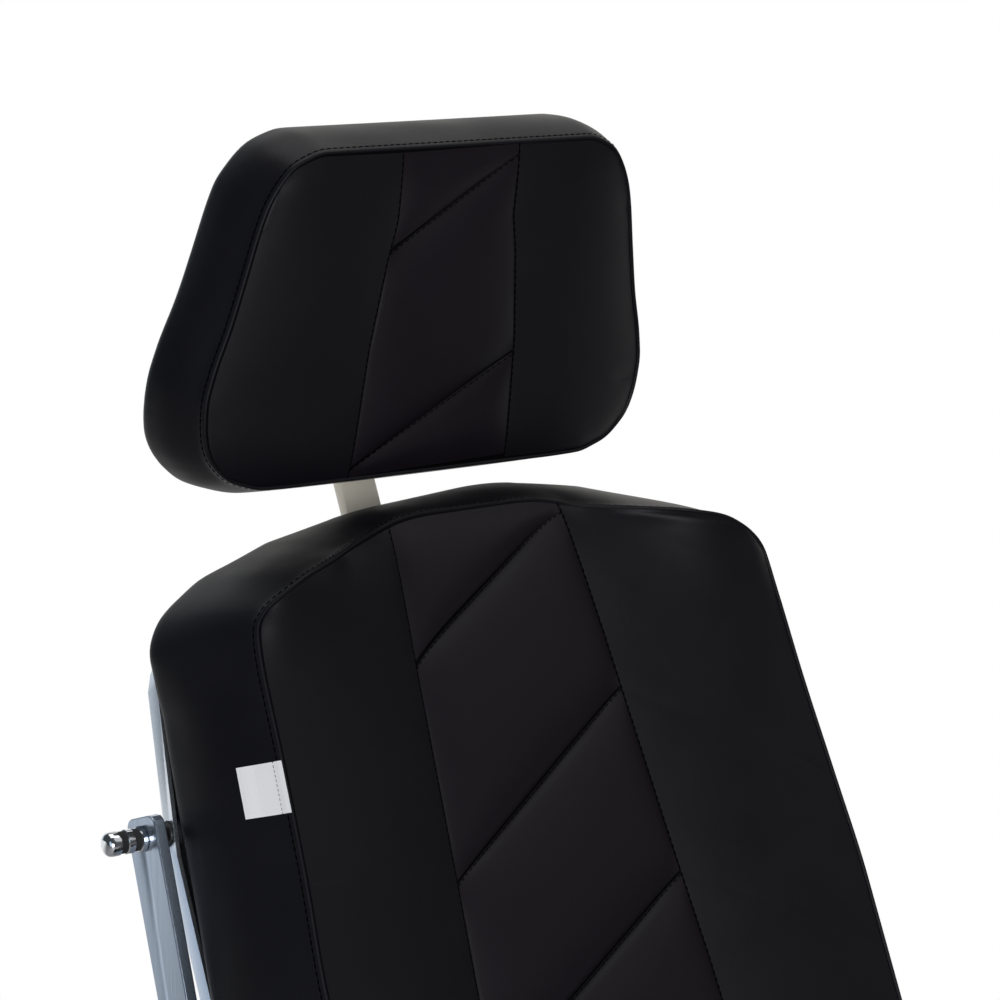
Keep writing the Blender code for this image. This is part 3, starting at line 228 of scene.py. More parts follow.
def make_coated(name, base, edge, roughness, grit, depth):
    """Powder coat or moulded plastic: one colour with a fine textured skin."""
    made, tree, shader, place = start(name, base, roughness)
    skin = add(tree, "ShaderNodeTexNoise", {"Vector": place, "Scale": 1 / grit, "Detail": 3.0})
    cloud = add(tree, "ShaderNodeTexNoise", {"Vector": place, "Scale": 1 / 0.080, "Detail": 3.0})
    tint(tree, shader, cloud.outputs["Fac"], base, edge)
    vary(tree, shader, cloud.outputs["Fac"], roughness - 0.05, roughness + 0.06)
    bump(tree, shader, skin.outputs["Fac"], depth, 0.6)
    return made


def make_anodised():
    """Extruded aluminium, satin anodised: matt silver with die lines up the tube."""
    made, tree, shader, place = start("anodised_aluminium", "#a8abb0", 0.38, 1.0)
    along = add(tree, "ShaderNodeMapping", {"Vector": place, "Scale": (1 / 0.0012, 1 / 0.0012, 1 / 0.400)})
    lines = add(tree, "ShaderNodeTexNoise", {"Vector": along.outputs["Vector"], "Scale": 1.0, "Detail": 2.0})
    vary(tree, shader, lines.outputs["Fac"], 0.32, 0.46)
    tint(tree, shader, lines.outputs["Fac"], "#a2a5aa", "#b4b7bb")
    bump(tree, shader, lines.outputs["Fac"], 0.00003, 0.4)
    return made


def make_plywood():
    """Birch plywood: pale face with long grain and darker glue lines through its edge."""
    made, tree, shader, place = start("birch_plywood", "#c9a878", 0.62)
    along = add(tree, "ShaderNodeMapping", {"Vector": place, "Scale": (1 / 0.004, 1 / 0.160, 1 / 0.160)})
    grain = add(tree, "ShaderNodeTexNoise", {"Vector": along.outputs["Vector"], "Scale": 1.0, "Detail": 5.0,
                                             "Distortion": 0.6})
    tint(tree, shader, grain.outputs["Fac"], "#b8925f", "#d8bd92")
    vary(tree, shader, grain.outputs["Fac"], 0.55, 0.70)
    bump(tree, shader, grain.outputs["Fac"], 0.0001, 0.4)
    return made


def make_tape():
    """Woven satin label tape: white, with a fine plain weave."""
    thread = 0.0007          # yarn pitch, drawn coarser than the real 0.25 mm so that it shows
    made, tree, shader, place = start("woven_label", "#f4f5f8", 0.55)
    warp = add(tree, "ShaderNodeTexWave", {"Vector": place, "Scale": 0.314 / thread}, bands_direction="Z")
    weft = add(tree, "ShaderNodeTexWave", {"Vector": place, "Scale": 0.314 / thread}, bands_direction="Y")
    both = add(tree, "ShaderNodeMath", {0: warp.outputs["Fac"], 1: weft.outputs["Fac"]}, operation="MULTIPLY")
    tint(tree, shader, both.outputs["Value"], "#e9ebf0", "#fafbfd")
    bump(tree, shader, both.outputs["Value"], 0.00008, 0.5)
    return made


def make_thread():
    """Bonded polyester thread: dull black, twisted, darker than the vinyl that it holds."""
    made, tree, shader, place = start("bonded_thread", "#030304", 0.8)
    shader.inputs["Specular IOR Level"].default_value = 0.02
    twist = add(tree, "ShaderNodeTexNoise", {"Vector": place, "Scale": 1 / 0.0008, "Detail": 2.0})
    tint(tree, shader, twist.outputs["Fac"], "#020203", "#060607")
    bump(tree, shader, twist.outputs["Fac"], 0.0001, 0.5)
    return made


LOOKS = {
    "vinyl": make_vinyl("black_vinyl", "#0e0e13", "#131318"),
    # warmer, slightly lighter copy of the vinyl for the centre panels: painted light, the warmer light that
    # falls on them
    "centre": make_vinyl("black_vinyl_centre_painted_warm_light", "#120f14", "#171319"),
    # near-black copy of the vinyl: painted shade along the seams
    "seam_shade": make_painted_seam_shade(),
    "stainless": make_brushed("satin_stainless", "#aebdd1", "#b9c7d9", 0.30, radians(-19.5)),
    # lighter copy of the satin stainless for the back shell: painted light that brightens its edge strip
    "bright_edge": make_brushed("stainless_painted_lighter", "#dfe7f0", "#e9eff6", 0.30, -RECLINE),
    # cream base colour: painted reflection of a warm bright room in the bar
    "bar": make_painted_reflection_bar("bar_painted_reflection", "#fbf4e4"),
    "chrome": make_chrome("chrome_plate", "#d9dce0", 0.04, 0.12),
    "painted_steel": make_coated("black_powder_coat", "#26272a", "#2e2f32", 0.42, 0.0012, 0.00010),
    "grey_plastic": make_coated("grey_abs", "#8d9196", "#979b9f", 0.45, 0.0010, 0.00006),
    "pale_plastic": make_coated("pale_abs", "#c4c8ce", "#ccd0d6", 0.36, 0.0010, 0.00005),
    "black_plastic": make_coated("black_nylon", "#1a1a1c", "#222225", 0.42, 0.0009, 0.00008),
    "rubber": make_coated("black_rubber", "#171718", "#1f1f20", 0.78, 0.0014, 0.00012),
    "aluminium": make_anodised(),
    "plywood": make_plywood(),
    "tape": make_tape(),
    "thread": make_thread(),
}


# Shapes


def run_along(points):
    """Length of a line from its first point to each of its points."""
    return np.r_[0, np.cumsum(np.linalg.norm(np.diff(points, axis=0), axis=1))]


def smooth_path(knots):
    """Path through knots by share of its length, smooth and without overshoot; also the knots' shares."""
    points = np.array(knots, float)
    reach = run_along(points)
    share = reach / reach[-1]
    gap = np.diff(share)[:, None]
    slope = np.diff(points, axis=0) / gap
    before, after = slope[:-1], slope[1:]
    same = before * after > 0
    inner = np.where(same, 2 * before * after / np.where(same, before + after, 1.0), 0.0)
    lean = np.vstack([slope[:1], inner, slope[-1:]])

    def at(x):
        x = np.asarray(x, float)
        i = np.clip(np.searchsorted(share, x, side="right") - 1, 0, len(points) - 2)
        step = gap[i]
        u = ((x - share[i]) / step[..., 0])[..., None]
        return ((2 * u**3 - 3 * u**2 + 1) * points[i] + (u**3 - 2 * u**2 + u) * step * lean[i]
                + (3 * u**2 - 2 * u**3) * points[i + 1] + (u**3 - u**2) * step * lean[i + 1])

    return at, share


def ease(x):
    """Smooth step from 0 to 1."""
    x = np.clip(x, 0.0, 1.0)
    return x * x * (3 - 2 * x)


def spread(first, last, near_first, near_last, step=ROW_STEP):
    """Shares from 0 to 1 over a stretch, closer together near an end that is sewn."""
    long = abs(last - first)
    count = max(2, round(long / step))
    marks = {i / count for i in range(1, count)}
    guard = NEAR_SEAM[-1] / long
    if near_first:
        marks = {m for m in marks if m > 1.5 * guard} | {d / long for d in NEAR_SEAM}
    if near_last:
        marks = {m for m in marks if m < 1 - 1.5 * guard} | {1 - d / long for d in NEAR_SEAM}
    return sorted(marks)


def bridge(first, second):
    """Faces between two closed rings of vertex numbers."""
    after = [*range(1, len(first)), 0]
    return [(first[a], first[b], second[b], second[a]) for a, b in enumerate(after)]


def new_object(name, data):
    """An object at the origin, linked into the scene."""
    made = bpy.data.objects.new(name, data)
    bpy.context.scene.collection.objects.link(made)
    return made


def keep_result(piece, modifier):
    """Make a modifier's result the piece's own mesh."""
    bpy.context.view_layer.update()
    mesh = bpy.data.meshes.new_from_object(piece.evaluated_get(bpy.context.evaluated_depsgraph_get()))
    piece.modifiers.remove(modifier)
    piece.data = mesh


def mesh_piece(name, points, faces, looks, face_looks=None, smooth=True):
    """A mesh object in the frame, with faces turned outwards."""
    mesh = bpy.data.meshes.new(name)
    mesh.from_pydata([tuple(p) for p in points], [], faces)
    for look in looks:
        mesh.materials.append(look)
    if face_looks is not None:
        mesh.polygons.foreach_set("material_index", face_looks)
    shape = bmesh.new()
    shape.from_mesh(mesh)
    bmesh.ops.recalc_face_normals(shape, faces=shape.faces)
    shape.to_mesh(mesh)
    shape.free()
    if smooth:
        mesh.shade_smooth()
    return new_object(name, mesh)


class Pad:
    """A sewn pad, built from its front seam, its centre panel and its slanting seams.

    Points are (across, fall, forward): fall runs down from the top of the front panel and
    forward stands out of it. spot places them in the frame.

    edge     knots of the front seam, from the middle of the top round one side to the bottom
    corners  knots at which the top and bottom edges end
    seam     (fall, half width) of the centre panel
    slants   (fall on the left, fall on the right) of each slanting seam
    flare    (fall, width) by which the rear is wider than the front
    crown    how a side panel comes forward, from the centre seam to the rim
    puff     height of the filling in the centre, at the sides and on the centre seams
    rise     bulge of the side band
    lay      bend of the whole front, from across and fall
    skew     how far the rear shoulders sit to one side
    """

    def __init__(self, name, spot, edge, corners, seam, slants, thick, flare, crown, puff,
                 rise=0.0, lay=None, skew=0.0):
        self.name, self.spot, self.thick, self.flare = name, spot, thick, flare
        self.crown, self.puff, self.rise, self.lay, self.skew = crown, puff, rise, lay, skew
        self.path, share = smooth_path(edge)
        self.top_end, self.low_start = share[corners[0]], share[corners[1]]
        self.seam_knots = np.array(seam)
        self.long = edge[-1][1]
        top = edge[0][1]
        keys = [(top, top), *slants, (self.long, self.long)]
        self.rows = []
        for first, last in zip(keys, keys[1:]):
            middle = (first[0] + first[1]) / 2, (last[0] + last[1]) / 2
            for f in [0.0] + spread(*middle, True, True):
                left = first[0] + (last[0] - first[0]) * f
                right = first[1] + (last[1] - first[1]) * f
                self.rows.append((left, right, f))
        self.rows.append((self.long, self.long, 0.0))
        wide = float(self.path(np.array([(self.top_end + self.low_start) / 2]))[0, 0])
        narrow = self.seam_at(self.long / 2)
        inside = spread(0, narrow, False, True)
        outside = spread(narrow, wide, True, True)
        half = [(0, f) for f in inside] + [(0, 1.0)] + [(1, f) for f in outside] + [(1, 1.0)]
        left_half = [(zone, -f, -1) for zone, f in reversed(half)]
        self.columns = left_half + [(0, 0.0, 1)] + [(zone, f, 1) for zone, f in half]
        self.seam_columns = {side: self.columns.index((0, float(side), side)) for side in (-1, 1)}
        self.build_front()
        self.build_band()

    def seam_at(self, fall):
        """Half width of the centre panel."""
        return float(np.interp(fall, self.seam_knots[:, 0], self.seam_knots[:, 1]))

    def build_front(self):
        """Grid of the front panel, its sewn lines and its filling."""
        grid = np.zeros((len(self.rows), len(self.columns), 3))
        self.sewn = np.zeros(grid.shape[:2], bool)
        means = np.array([(left + right) / 2 for left, right, f in self.rows])
        for j, (left, right, f) in enumerate(self.rows):
            share = (means[j] - means[0]) / (self.long - means[0])
            rim = self.path(np.array([self.top_end + (self.low_start - self.top_end) * share]))[0]
            narrow = {-1: self.seam_at(left), 1: self.seam_at(right)}
            fall = {-1: left, 1: right}
            for i, (zone, mark, side) in enumerate(self.columns):
                if zone:
                    u = abs(mark)
                    s = narrow[side] + (rim[0] - narrow[side]) * u
                    level = fall[side] + (rim[1] - fall[side]) * u
                    grid[j, i] = (side * s, level, rim[2] * self.crown(u))
                else:
                    s = mark * narrow[side]
                    turn = (s + narrow[-1]) / (narrow[-1] + narrow[1])
                    level = left + (right - left) * turn
                    grid[j, i] = (s, level, 0.0)
                    self.sewn[j, i] = f == 0.0 or abs(mark) == 1.0
        for row, start_share, end_share in ((0, 0.0, self.top_end), (-1, 1.0, self.low_start)):
            narrow = abs(grid[row, self.seam_columns[1], 0])
            line = self.path(np.linspace(start_share, end_share, 200))
            target = np.zeros_like(grid[row])
            wide = abs(grid[row, -1, 0])
            for i, (zone, mark, side) in enumerate(self.columns):
                s = narrow + (wide - narrow) * abs(mark) if zone else narrow * abs(mark)
                target[i] = [np.interp(s, line[:, 0], line[:, k]) for k in range(3)]
                target[i, 0] *= side
            gone = target - grid[row]
            away = np.abs(means - means[row])
            near = np.exp(-(away / (END_PULL * self.long)) ** 2)
            fade = near * (1 - ease((away - END_HOLD * self.long) / (END_FADE * self.long)))
            grid += gone * fade[:, None, None]
        self.settle(grid)
        if self.lay:
            grid[:, :, 2] += self.lay(np.abs(grid[:, :, 0]), grid[:, :, 1])
        grid[:, :, 2] += self.puffed(grid)
        self.grid = grid

    def settle(self, grid, rounds=500):
        """Let the side panels lie smooth between the centre seams and the rim."""
        zones = np.array([zone for zone, mark, side in self.columns])
        free = np.zeros(grid.shape[:2], bool)
        free[1:-1, 1:-1] = zones[None, 1:-1] == 1
        level = grid[:, :, 2]
        pull = []
        for axis in (0, 1):
            before = np.linalg.norm(grid - np.roll(grid, 1, axis), axis=2) + 1e-5
            after = np.roll(before, -1, axis)
            pull += [(1 / (before * (before + after)), 1, axis), (1 / (after * (before + after)), -1, axis)]
        total = sum(weight for weight, step, axis in pull)
        for _ in range(rounds):
            mean = sum(weight * np.roll(level, step, axis) for weight, step, axis in pull) / total
            level[free] = mean[free]

    def puffed(self, grid):
        """Height of the filling between the sewn lines and the rim."""
        rows, columns = grid.shape[:2]
        flat = grid[:, :, :2].reshape(-1, 2)
        centre = np.array([zone == 0 for zone, mark, side in self.columns])
        rim = np.zeros((rows, columns), bool)
        rim[[0, -1], :] = rim[:, [0, -1]] = True
        slants = np.array([row[2] == 0.0 for row in self.rows])[:, None] & self.sewn
        reach = []
        for lines in (rim, slants, self.sewn & ~slants):
            spots = flat[lines.reshape(-1)]
            near = [np.sqrt(((spots - p) ** 2).sum(1).min()) for p in flat]
            reach.append(np.array(near).reshape(rows, columns))
        edge = 1 - np.exp(-reach[0] / RIM_PULL)
        slant = 1 - np.exp(-reach[1] / SLANT_PULL)
        seam = np.exp(-reach[2] / SEAM_PULL)
        in_centre, at_sides, on_seams = self.puff
        inside = in_centre * slant * (1 - seam) + on_seams * seam
        outside = at_sides * (1 - seam) + on_seams * seam
        return edge * np.where(centre[None, :], inside, outside)

    def build_band(self):
        """Loops from the front seam over its roll and down the side band to the rear."""
        rows, columns = self.grid.shape[:2]
        rim = [(0, i) for i in range(columns - 1)] + [(j, columns - 1) for j in range(rows - 1)]
        rim += [(rows - 1, i) for i in range(columns - 1, 0, -1)] + [(j, 0) for j in range(rows - 1, 0, -1)]
        edge = np.array([self.grid[j, i] for j, i in rim])
        run = np.roll(edge, -3, 0) - np.roll(edge, 3, 0)
        out = np.stack([run[:, 1], -run[:, 0]], 1)
        out /= np.linalg.norm(out, axis=1)[:, None]
        for _ in range(6):
            out = (np.roll(out, 1, 0) + 2 * out + np.roll(out, -1, 0)) / 4
        out /= np.linalg.norm(out, axis=1)[:, None]
        deep = edge[:, 2] + self.thick
        loops = []
        for share, step_up in ROLL_RINGS:
            loops.append(np.c_[edge[:, :2] + out * (share * ROLL), edge[:, 2] + step_up])
        from_out, from_back = ROLL_RINGS[-1][0] * ROLL, -ROLL_RINGS[-1][1]
        band_steps = max(6, round((self.thick - REAR_TURN) / BAND_STEP))
        flare = np.interp(edge[:, 1], *np.array(self.flare).T)
        flare += self.skew * edge[:, 0] / SKEW_HALF * np.exp(-edge[:, 1] / SKEW_FALL)
        for k in range(1, band_steps + 1):
            b = k / band_steps
            wide = from_out + (flare - from_out) * b + self.rise * sin(pi * b)
            back = from_back + (deep - REAR_TURN - from_back) * b
            loops.append(np.c_[edge[:, :2] + out * wide[:, None], edge[:, 2] - back])
        for k in range(1, REAR_TURN_STEPS + 1):
            a = k / REAR_TURN_STEPS * pi / 2
            wide = flare - REAR_TURN * (1 - cos(a))
            back = deep - REAR_TURN * (1 - sin(a))
            loops.append(np.c_[edge[:, :2] + out * wide[:, None], edge[:, 2] - back])
        loops.append(np.c_[edge[:, :2] - out * REAR_INSET, np.full(len(edge), -self.thick)])
        self.rim, self.loops = rim, loops

    def make(self, simulate):
        """Mesh of the pad: swelled by cloth pressure if asked, then subdivided and closed."""
        rows, columns = self.grid.shape[:2]
        number = np.arange(rows * columns).reshape(rows, columns)
        faces, looks = [], []
        centre = [zone == 0 for zone, mark, side in self.columns]
        # Faces along the rim, beside the centre seams and above the slanting seams take the near-black seam
        # look: painted shade of the creases.
        shaded_columns = {self.seam_columns[-1] - 1, self.seam_columns[1]}
        for j in range(rows - 1):
            for i in range(columns - 1):
                faces.append((number[j, i], number[j, i + 1], number[j + 1, i + 1], number[j + 1, i]))
                inside = centre[i] and centre[i + 1]
                rim = j in (0, rows - 2) or i in (0, columns - 2)
                above_slant = inside and 0.0 in (self.rows[j + 1][2], self.rows[min(j + 2, rows - 1)][2])
                painted_shade = rim or i in shaded_columns or above_slant
                looks.append(SEAM_SHADE if painted_shade else CENTRE if inside else COVER)
        flat = [self.grid.reshape(-1, 3)]
        before = [int(number[j, i]) for j, i in self.rim]
        held = np.zeros(rows * columns)
        held[self.sewn.reshape(-1)] = 1.0
        held[before] = 1.0
        weights = [held]
        total = rows * columns
        count = len(self.rim)
        self.ring_ids = []
        for k, loop in enumerate(self.loops):
            after = list(range(total, total + count))
            faces += bridge(before, after)
            # The ring that carries the topstitch takes the near-black seam look too: painted shade of its
            # dent.
            looks += [SEAM_SHADE if k == STITCH_RING else COVER] * count
            flat.append(loop)
            still = k <= STITCH_RING + 1 or k >= len(self.loops) - REAR_HELD
            weights.append(np.full(count, 1.0 if still else 0.0))
            total += count
            before = after
            self.ring_ids.append(after)
        self.number = number
        points = [self.spot @ Vector(p) for p in np.vstack(flat)]
        materials = [LOOKS[look] for look in ("vinyl", "centre", "seam_shade")]
        piece = mesh_piece(self.name, points, faces, materials, looks)
        self.crease(piece)
        if simulate:
            inflate(piece, np.concatenate(weights))
        subdivide(piece)
        close_rear(piece)
        self.piece = piece
        return piece

    def crease(self, piece):
        """Keep the sewn lines sharp under the subdivision."""
        rim = {int(self.number[j, i]) for j, i in self.rim}
        rows, columns = self.sewn.shape
        sewn = {int(self.number[j, i]) for j in range(rows) for i in range(columns) if self.sewn[j, i]}
        values = np.zeros(len(piece.data.edges), np.float32)
        for edge in piece.data.edges:
            a, b = edge.vertices
            if (a in rim and b in rim) or (a in sewn and b in sewn):
                values[edge.index] = SEAM_CREASE
        layer = piece.data.attributes.new("crease_edge", "FLOAT", "EDGE")
        layer.data.foreach_set("value", values)


def subdivide(piece):
    """Subdivide a piece's mesh once; its old vertices keep their numbers."""
    round_off = piece.modifiers.new("round_off", "SUBSURF")
    round_off.levels = round_off.render_levels = 1
    round_off.use_limit_surface = False
    keep_result(piece, round_off)


def close_rear(piece):
    """Close the flat rear, which rests on the board."""
    shape = bmesh.new()
    shape.from_mesh(piece.data)
    bmesh.ops.edgeloop_fill(shape, edges=[e for e in shape.edges if e.is_boundary])
    bmesh.ops.recalc_face_normals(shape, faces=shape.faces)
    shape.to_mesh(piece.data)
    shape.free()


def inflate(piece, held, frames=20, cap=0.024):
    """Swell a pad with cloth pressure between its sewn lines, and apply the result to its mesh."""
    group = piece.vertex_groups.new(name="sewn")
    for index, weight in enumerate(held):
        if weight:
            group.add([index], float(weight), "REPLACE")
    cloth = piece.modifiers.new("fill", "CLOTH")
    settings = cloth.settings
    settings.vertex_group_mass = "sewn"
    settings.quality = 4
    settings.mass = 0.25
    settings.tension_stiffness = settings.compression_stiffness = 30
    settings.shear_stiffness = 20
    settings.bending_stiffness = 4
    settings.air_damping = 8
    settings.use_pressure = True
    settings.uniform_pressure_force = 4
    settings.effector_weights.gravity = 0
    cloth.collision_settings.use_collision = False
    scene = bpy.context.scene
    cloth.point_cache.frame_start, cloth.point_cache.frame_end = 1, frames
    for number in range(1, frames + 1):
        scene.frame_set(number)
    done = piece.evaluated_get(bpy.context.evaluated_depsgraph_get()).to_mesh()
    count = len(piece.data.vertices)
    new, old = np.zeros(count * 3), np.zeros(count * 3)
    done.vertices.foreach_get("co", new)
    piece.data.vertices.foreach_get("co", old)
    move = (new - old).reshape(-1, 3)
    size = np.linalg.norm(move, axis=1)
    move *= np.minimum(1.0, cap / np.maximum(size, 1e-9))[:, None]
    print(piece.name, "swelled by", round(float(size.max()) * 1000, 1), "mm at most")
    piece.modifiers.remove(cloth)
    piece.vertex_groups.remove(group)
    scene.frame_set(1)
    piece.data.vertices.foreach_set("co", (old.reshape(-1, 3) + move).reshape(-1))
    piece.data.update()


# Pads


def front_frame(base, at, down, forward):
    """Frame of a pad's front: across is X, and the other two axes are given in a base frame."""
    turn = Matrix((Vector((1, 0, 0)), Vector(down), Vector(forward))).transposed().to_4x4()
    return base @ Matrix.Translation(at) @ turn


PADS = {
    "back_cushion": Pad(
        "back_pad", front_frame(BACK, (0, -0.040, 0.640), (0, 0, -1), (0, -1, 0)),
        edge=[(0, 0, 0), (0.034, 0, 0), (0.050, 0.0009, 0), (0.064, 0.0032, 0), (0.078, 0.0074, 0.0015),
              (0.092, 0.0122, 0.008), (0.118, 0.0216, 0.025), (0.150, 0.034, 0.046), (0.172, 0.042, 0.051),
              (0.187, 0.0495, 0.048), (0.2012, 0.058, 0.041), (0.2085, 0.068, 0.0365),
              (0.2113, 0.098, 0.0345), (0.213, 0.153, 0.0345), (0.2172, 0.232, 0.035),
              (0.222, 0.308, 0.034), (0.223, 0.530, 0.033), (0.222, 0.558, 0.032), (0.205, 0.572, 0.030),
              (0.170, 0.575, 0.024), (0.070, 0.575, 0), (0, 0.575, 0)],
        corners=(10, 18),
        seam=((0, 0.070), (0.10, 0.078), (0.25, 0.088), (0.33, 0.094), (0.575, 0.104)),
        slants=[(0.100, 0.007), (0.251, 0.141), (0.386, 0.275), (0.520, 0.409)],
        thick=0.072,
        flare=((0, 0.027), (0.022, 0.0385), (0.042, 0.041), (0.058, 0.038), (0.075, 0.032),
               (0.10, 0.0285), (0.16, 0.030), (0.22, 0.030)),
        crown=lambda u: float(ease(u) * 0.6 + u * 0.4),
        puff=(0.010, 0.006, 0.0035), rise=0.002, skew=0.016),
    "headrest_cushion": Pad(
        "headrest_pad", front_frame(HEAD, (0, -0.1073, 0.192), (0, 0, -1), (0, -1, 0)),
        edge=[(0, 0, 0), (0.108, 0, 0), (0.122, 0.0045, 0), (0.131, 0.0099, 0), (0.1393, 0.0207, 0),
              (0.1462, 0.0342, 0), (0.1505, 0.0477, 0), (0.1584, 0.0828, 0), (0.1663, 0.117, 0),
              (0.1760, 0.1512, 0), (0.1794, 0.1719, 0), (0.1788, 0.1854, 0), (0.1771, 0.1962, 0),
              (0.1730, 0.2079, 0), (0.166, 0.2169, 0), (0.1565, 0.225, 0), (0.1468, 0.2286, 0),
              (0.132, 0.2322, 0), (0, 0.2322, 0)],
        corners=(4, 14),
        seam=((0, 0.047), (0.05, 0.047), (0.075, 0.052), (0.14, 0.060), (0.232, 0.065)),
        slants=[(0.0711, 0.0072), (0.2262, 0.1512)],
        thick=0.067,
        flare=((0, 0.0035), (0.012, 0.006), (0.035, 0.0105), (0.10, 0.013), (0.17, 0.017),
               (0.20, 0.0205), (0.2322, 0.0205)),
        crown=ease, puff=(0.008, 0.006, 0.0025), rise=0.003,
        lay=lambda s, fall: -0.006 * ease((s - 0.100) / 0.090)),
    "seat_cushion": Pad(
        "seat_pad", front_frame(Matrix(), (0, 0.1374, 0.5849), (0, -1, 0), (0, 0, 1)),
        edge=[(0, 0, 0), (0.165, 0, 0), (0.192, 0.003, 0), (0.208, 0.010, 0), (0.216, 0.020, 0),
              (0.220, 0.035, 0), (0.222, 0.050, 0), (0.222, 0.376, 0), (0.220, 0.391, 0),
              (0.216, 0.406, 0), (0.208, 0.416, 0), (0.192, 0.423, 0), (0.165, 0.426, 0), (0, 0.426, 0)],
        corners=(3, 10), seam=((0, 0.100), (0.426, 0.100)), slants=[(0.180, 0.070), (0.330, 0.220)],
        thick=0.074, flare=((0, 0.016),), crown=ease, puff=(0.009, 0.006, 0.003), rise=0.003,
        lay=lambda s, fall: -0.010 * ease((s - 0.130) / 0.070) - 0.022 * ease((fall - 0.346) / 0.080)),
    "leg_cushion": Pad(
        "leg_pad", front_frame(LEG, (0, -0.028, 0.1089), (0, -1, 0), (0, 0, 1)),
        edge=[(0, 0, 0), (0.150, 0, 0), (0.184, 0.003, 0), (0.200, 0.010, 0), (0.208, 0.020, 0),
              (0.212, 0.035, 0), (0.214, 0.050, 0), (0.214, 0.250, 0), (0.209, 0.310, 0),
              (0.202, 0.346, 0), (0.192, 0.396, 0), (0.182, 0.412, 0), (0.165, 0.423, 0),
              (0.140, 0.426, 0), (0, 0.426, 0)],
        corners=(3, 12), seam=((0, 0.100), (0.426, 0.086)), slants=[(0.170, 0.060), (0.320, 0.210)],
        thick=0.074, flare=((0, 0.016),), crown=ease, puff=(0.009, 0.006, 0.003), rise=0.003,
        lay=lambda s, fall: -0.010 * ease((s - 0.130) / 0.070)),
}


def finish_piece(piece, body, slot, *nodes):
    """Ride on a body and stand for CAD nodes. The slot is not used."""
    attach(piece, body)
    if nodes:
        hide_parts(*nodes)
    return piece


for cushion, pad in PADS.items():
    piece = pad.make(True)
    finish_piece(piece, body_of_node[cushion], "vinyl", cushion)


# Stitching and label


def new_tree(name, floats):
    """Geometry node tree with named inputs: its geometry, some lengths and a material."""
    tree = bpy.data.node_groups.new(name, "GeometryNodeTree")
    tree.interface.new_socket("Geometry", in_out="INPUT", socket_type="NodeSocketGeometry")
    for label in floats:
        tree.interface.new_socket(label, in_out="INPUT", socket_type="NodeSocketFloat")
    tree.interface.new_socket("Material", in_out="INPUT", socket_type="NodeSocketMaterial")
    tree.interface.new_socket("Geometry", in_out="OUTPUT", socket_type="NodeSocketGeometry")
    return tree, add(tree, "NodeGroupInput").outputs


def make_stitch_tree():
    """Single stitches of thread, laid end to end along lines of edges."""
    tree, given = new_tree("stitches", ("Pitch", "Half Length", "Thread Radius"))
    lines = add(tree, "GeometryNodeMeshToCurve", {"Mesh": given["Geometry"]})
    spots = add(tree, "GeometryNodeCurveToPoints", {"Curve": lines.outputs[0], "Length": given["Pitch"]},
                mode="LENGTH")
    stitch = add(tree, "GeometryNodeMeshUVSphere", {"Segments": 6, "Rings": 4, "Radius": 1.0})
    size = add(tree, "ShaderNodeCombineXYZ", {"X": given["Thread Radius"], "Y": given["Thread Radius"],
                                              "Z": given["Half Length"]})
    laid = add(tree, "GeometryNodeInstanceOnPoints",
               {"Points": spots.outputs["Points"], "Instance": stitch.outputs["Mesh"],
                "Rotation": spots.outputs["Rotation"], "Scale": size.outputs["Vector"]})
    real = add(tree, "GeometryNodeRealizeInstances", {"Geometry": laid.outputs[0]})
    soft = add(tree, "GeometryNodeSetShadeSmooth", {"Geometry": real.outputs[0]})
    done = add(tree, "GeometryNodeSetMaterial", {"Geometry": soft.outputs[0], "Material": given["Material"]})
    add(tree, "NodeGroupOutput", {"Geometry": done.outputs[0]})
    return tree


def lay_along(name, tree, lines, values):
    """Run a node tree over lines of points, each open or closed, and keep the result as a plain mesh."""
    points, edges = [], []
    for line, closed in lines:
        base = len(points)
        points += [tuple(p) for p in line]
        edges += [(base + k, base + k + 1) for k in range(len(line) - 1)]
        if closed:
            edges.append((base + len(line) - 1, base))
    mesh = bpy.data.meshes.new(name)
    mesh.from_pydata(points, edges, [])
    piece = new_object(name, mesh)
    maker = piece.modifiers.new("maker", "NODES")
    maker.node_group = tree
    for item in tree.interface.items_tree:
        if item.in_out == "INPUT" and item.name in values:
            maker[item.identifier] = values[item.name]
    keep_result(piece, maker)
    return piece


STITCHES = make_stitch_tree()
SEAM_SEWING = {"Pitch": STITCH_PITCH, "Half Length": STITCH_LENGTH / 2, "Thread Radius": THREAD,
               "Material": LOOKS["thread"]}


def stitch_lines(pad):
    """Topstitch round the rim, and stitches beside the centre seams and under the slanting seams."""
    mesh = pad.piece.data

    def spots(indices):
        return [mesh.vertices[i].co + mesh.vertices[i].normal * THREAD * THREAD_PROUD for i in indices]

    lines = [(spots(pad.ring_ids[STITCH_RING]), True)]
    left, right = pad.seam_columns[-1], pad.seam_columns[1]
    for column in (left - 1, right + 1):
        lines.append((spots(pad.number[2:-2, column]), False))
    for j, row in enumerate(pad.rows[1:-1], 1):
        if row[2] == 0.0:
            lines.append((spots(pad.number[j + 1, left + 1:right]), False))
    return lines


for cushion, pad in PADS.items():
    thread = lay_along(pad.name + "_stitches", STITCHES, stitch_lines(pad), SEAM_SEWING)
    finish_piece(thread, body_of_node[cushion], "vinyl")


TAG_FALL = 0.1715            # middle of the label under the top of the back
TAG_ALONG = 0.034
TAG_ACROSS = 0.036
TAG_TURN = 0.004             # free end stands this much higher than the sewn end
TAG_THICK = 0.0004
TAG_START = 0.0012           # its sewn end, from the first ring of the roll
TAG_LIFT = 0.0006            # between label and cover
TAG_CURL = 0.0016            # free end stands off by this much more
TAG_CURL_FROM, TAG_CURL_OVER = 0.55, 0.45   # shares of its width
TAG_SEWING = {**SEAM_SEWING, "Pitch": 0.0030, "Half Length": 0.0011, "Thread Radius": 0.00022}


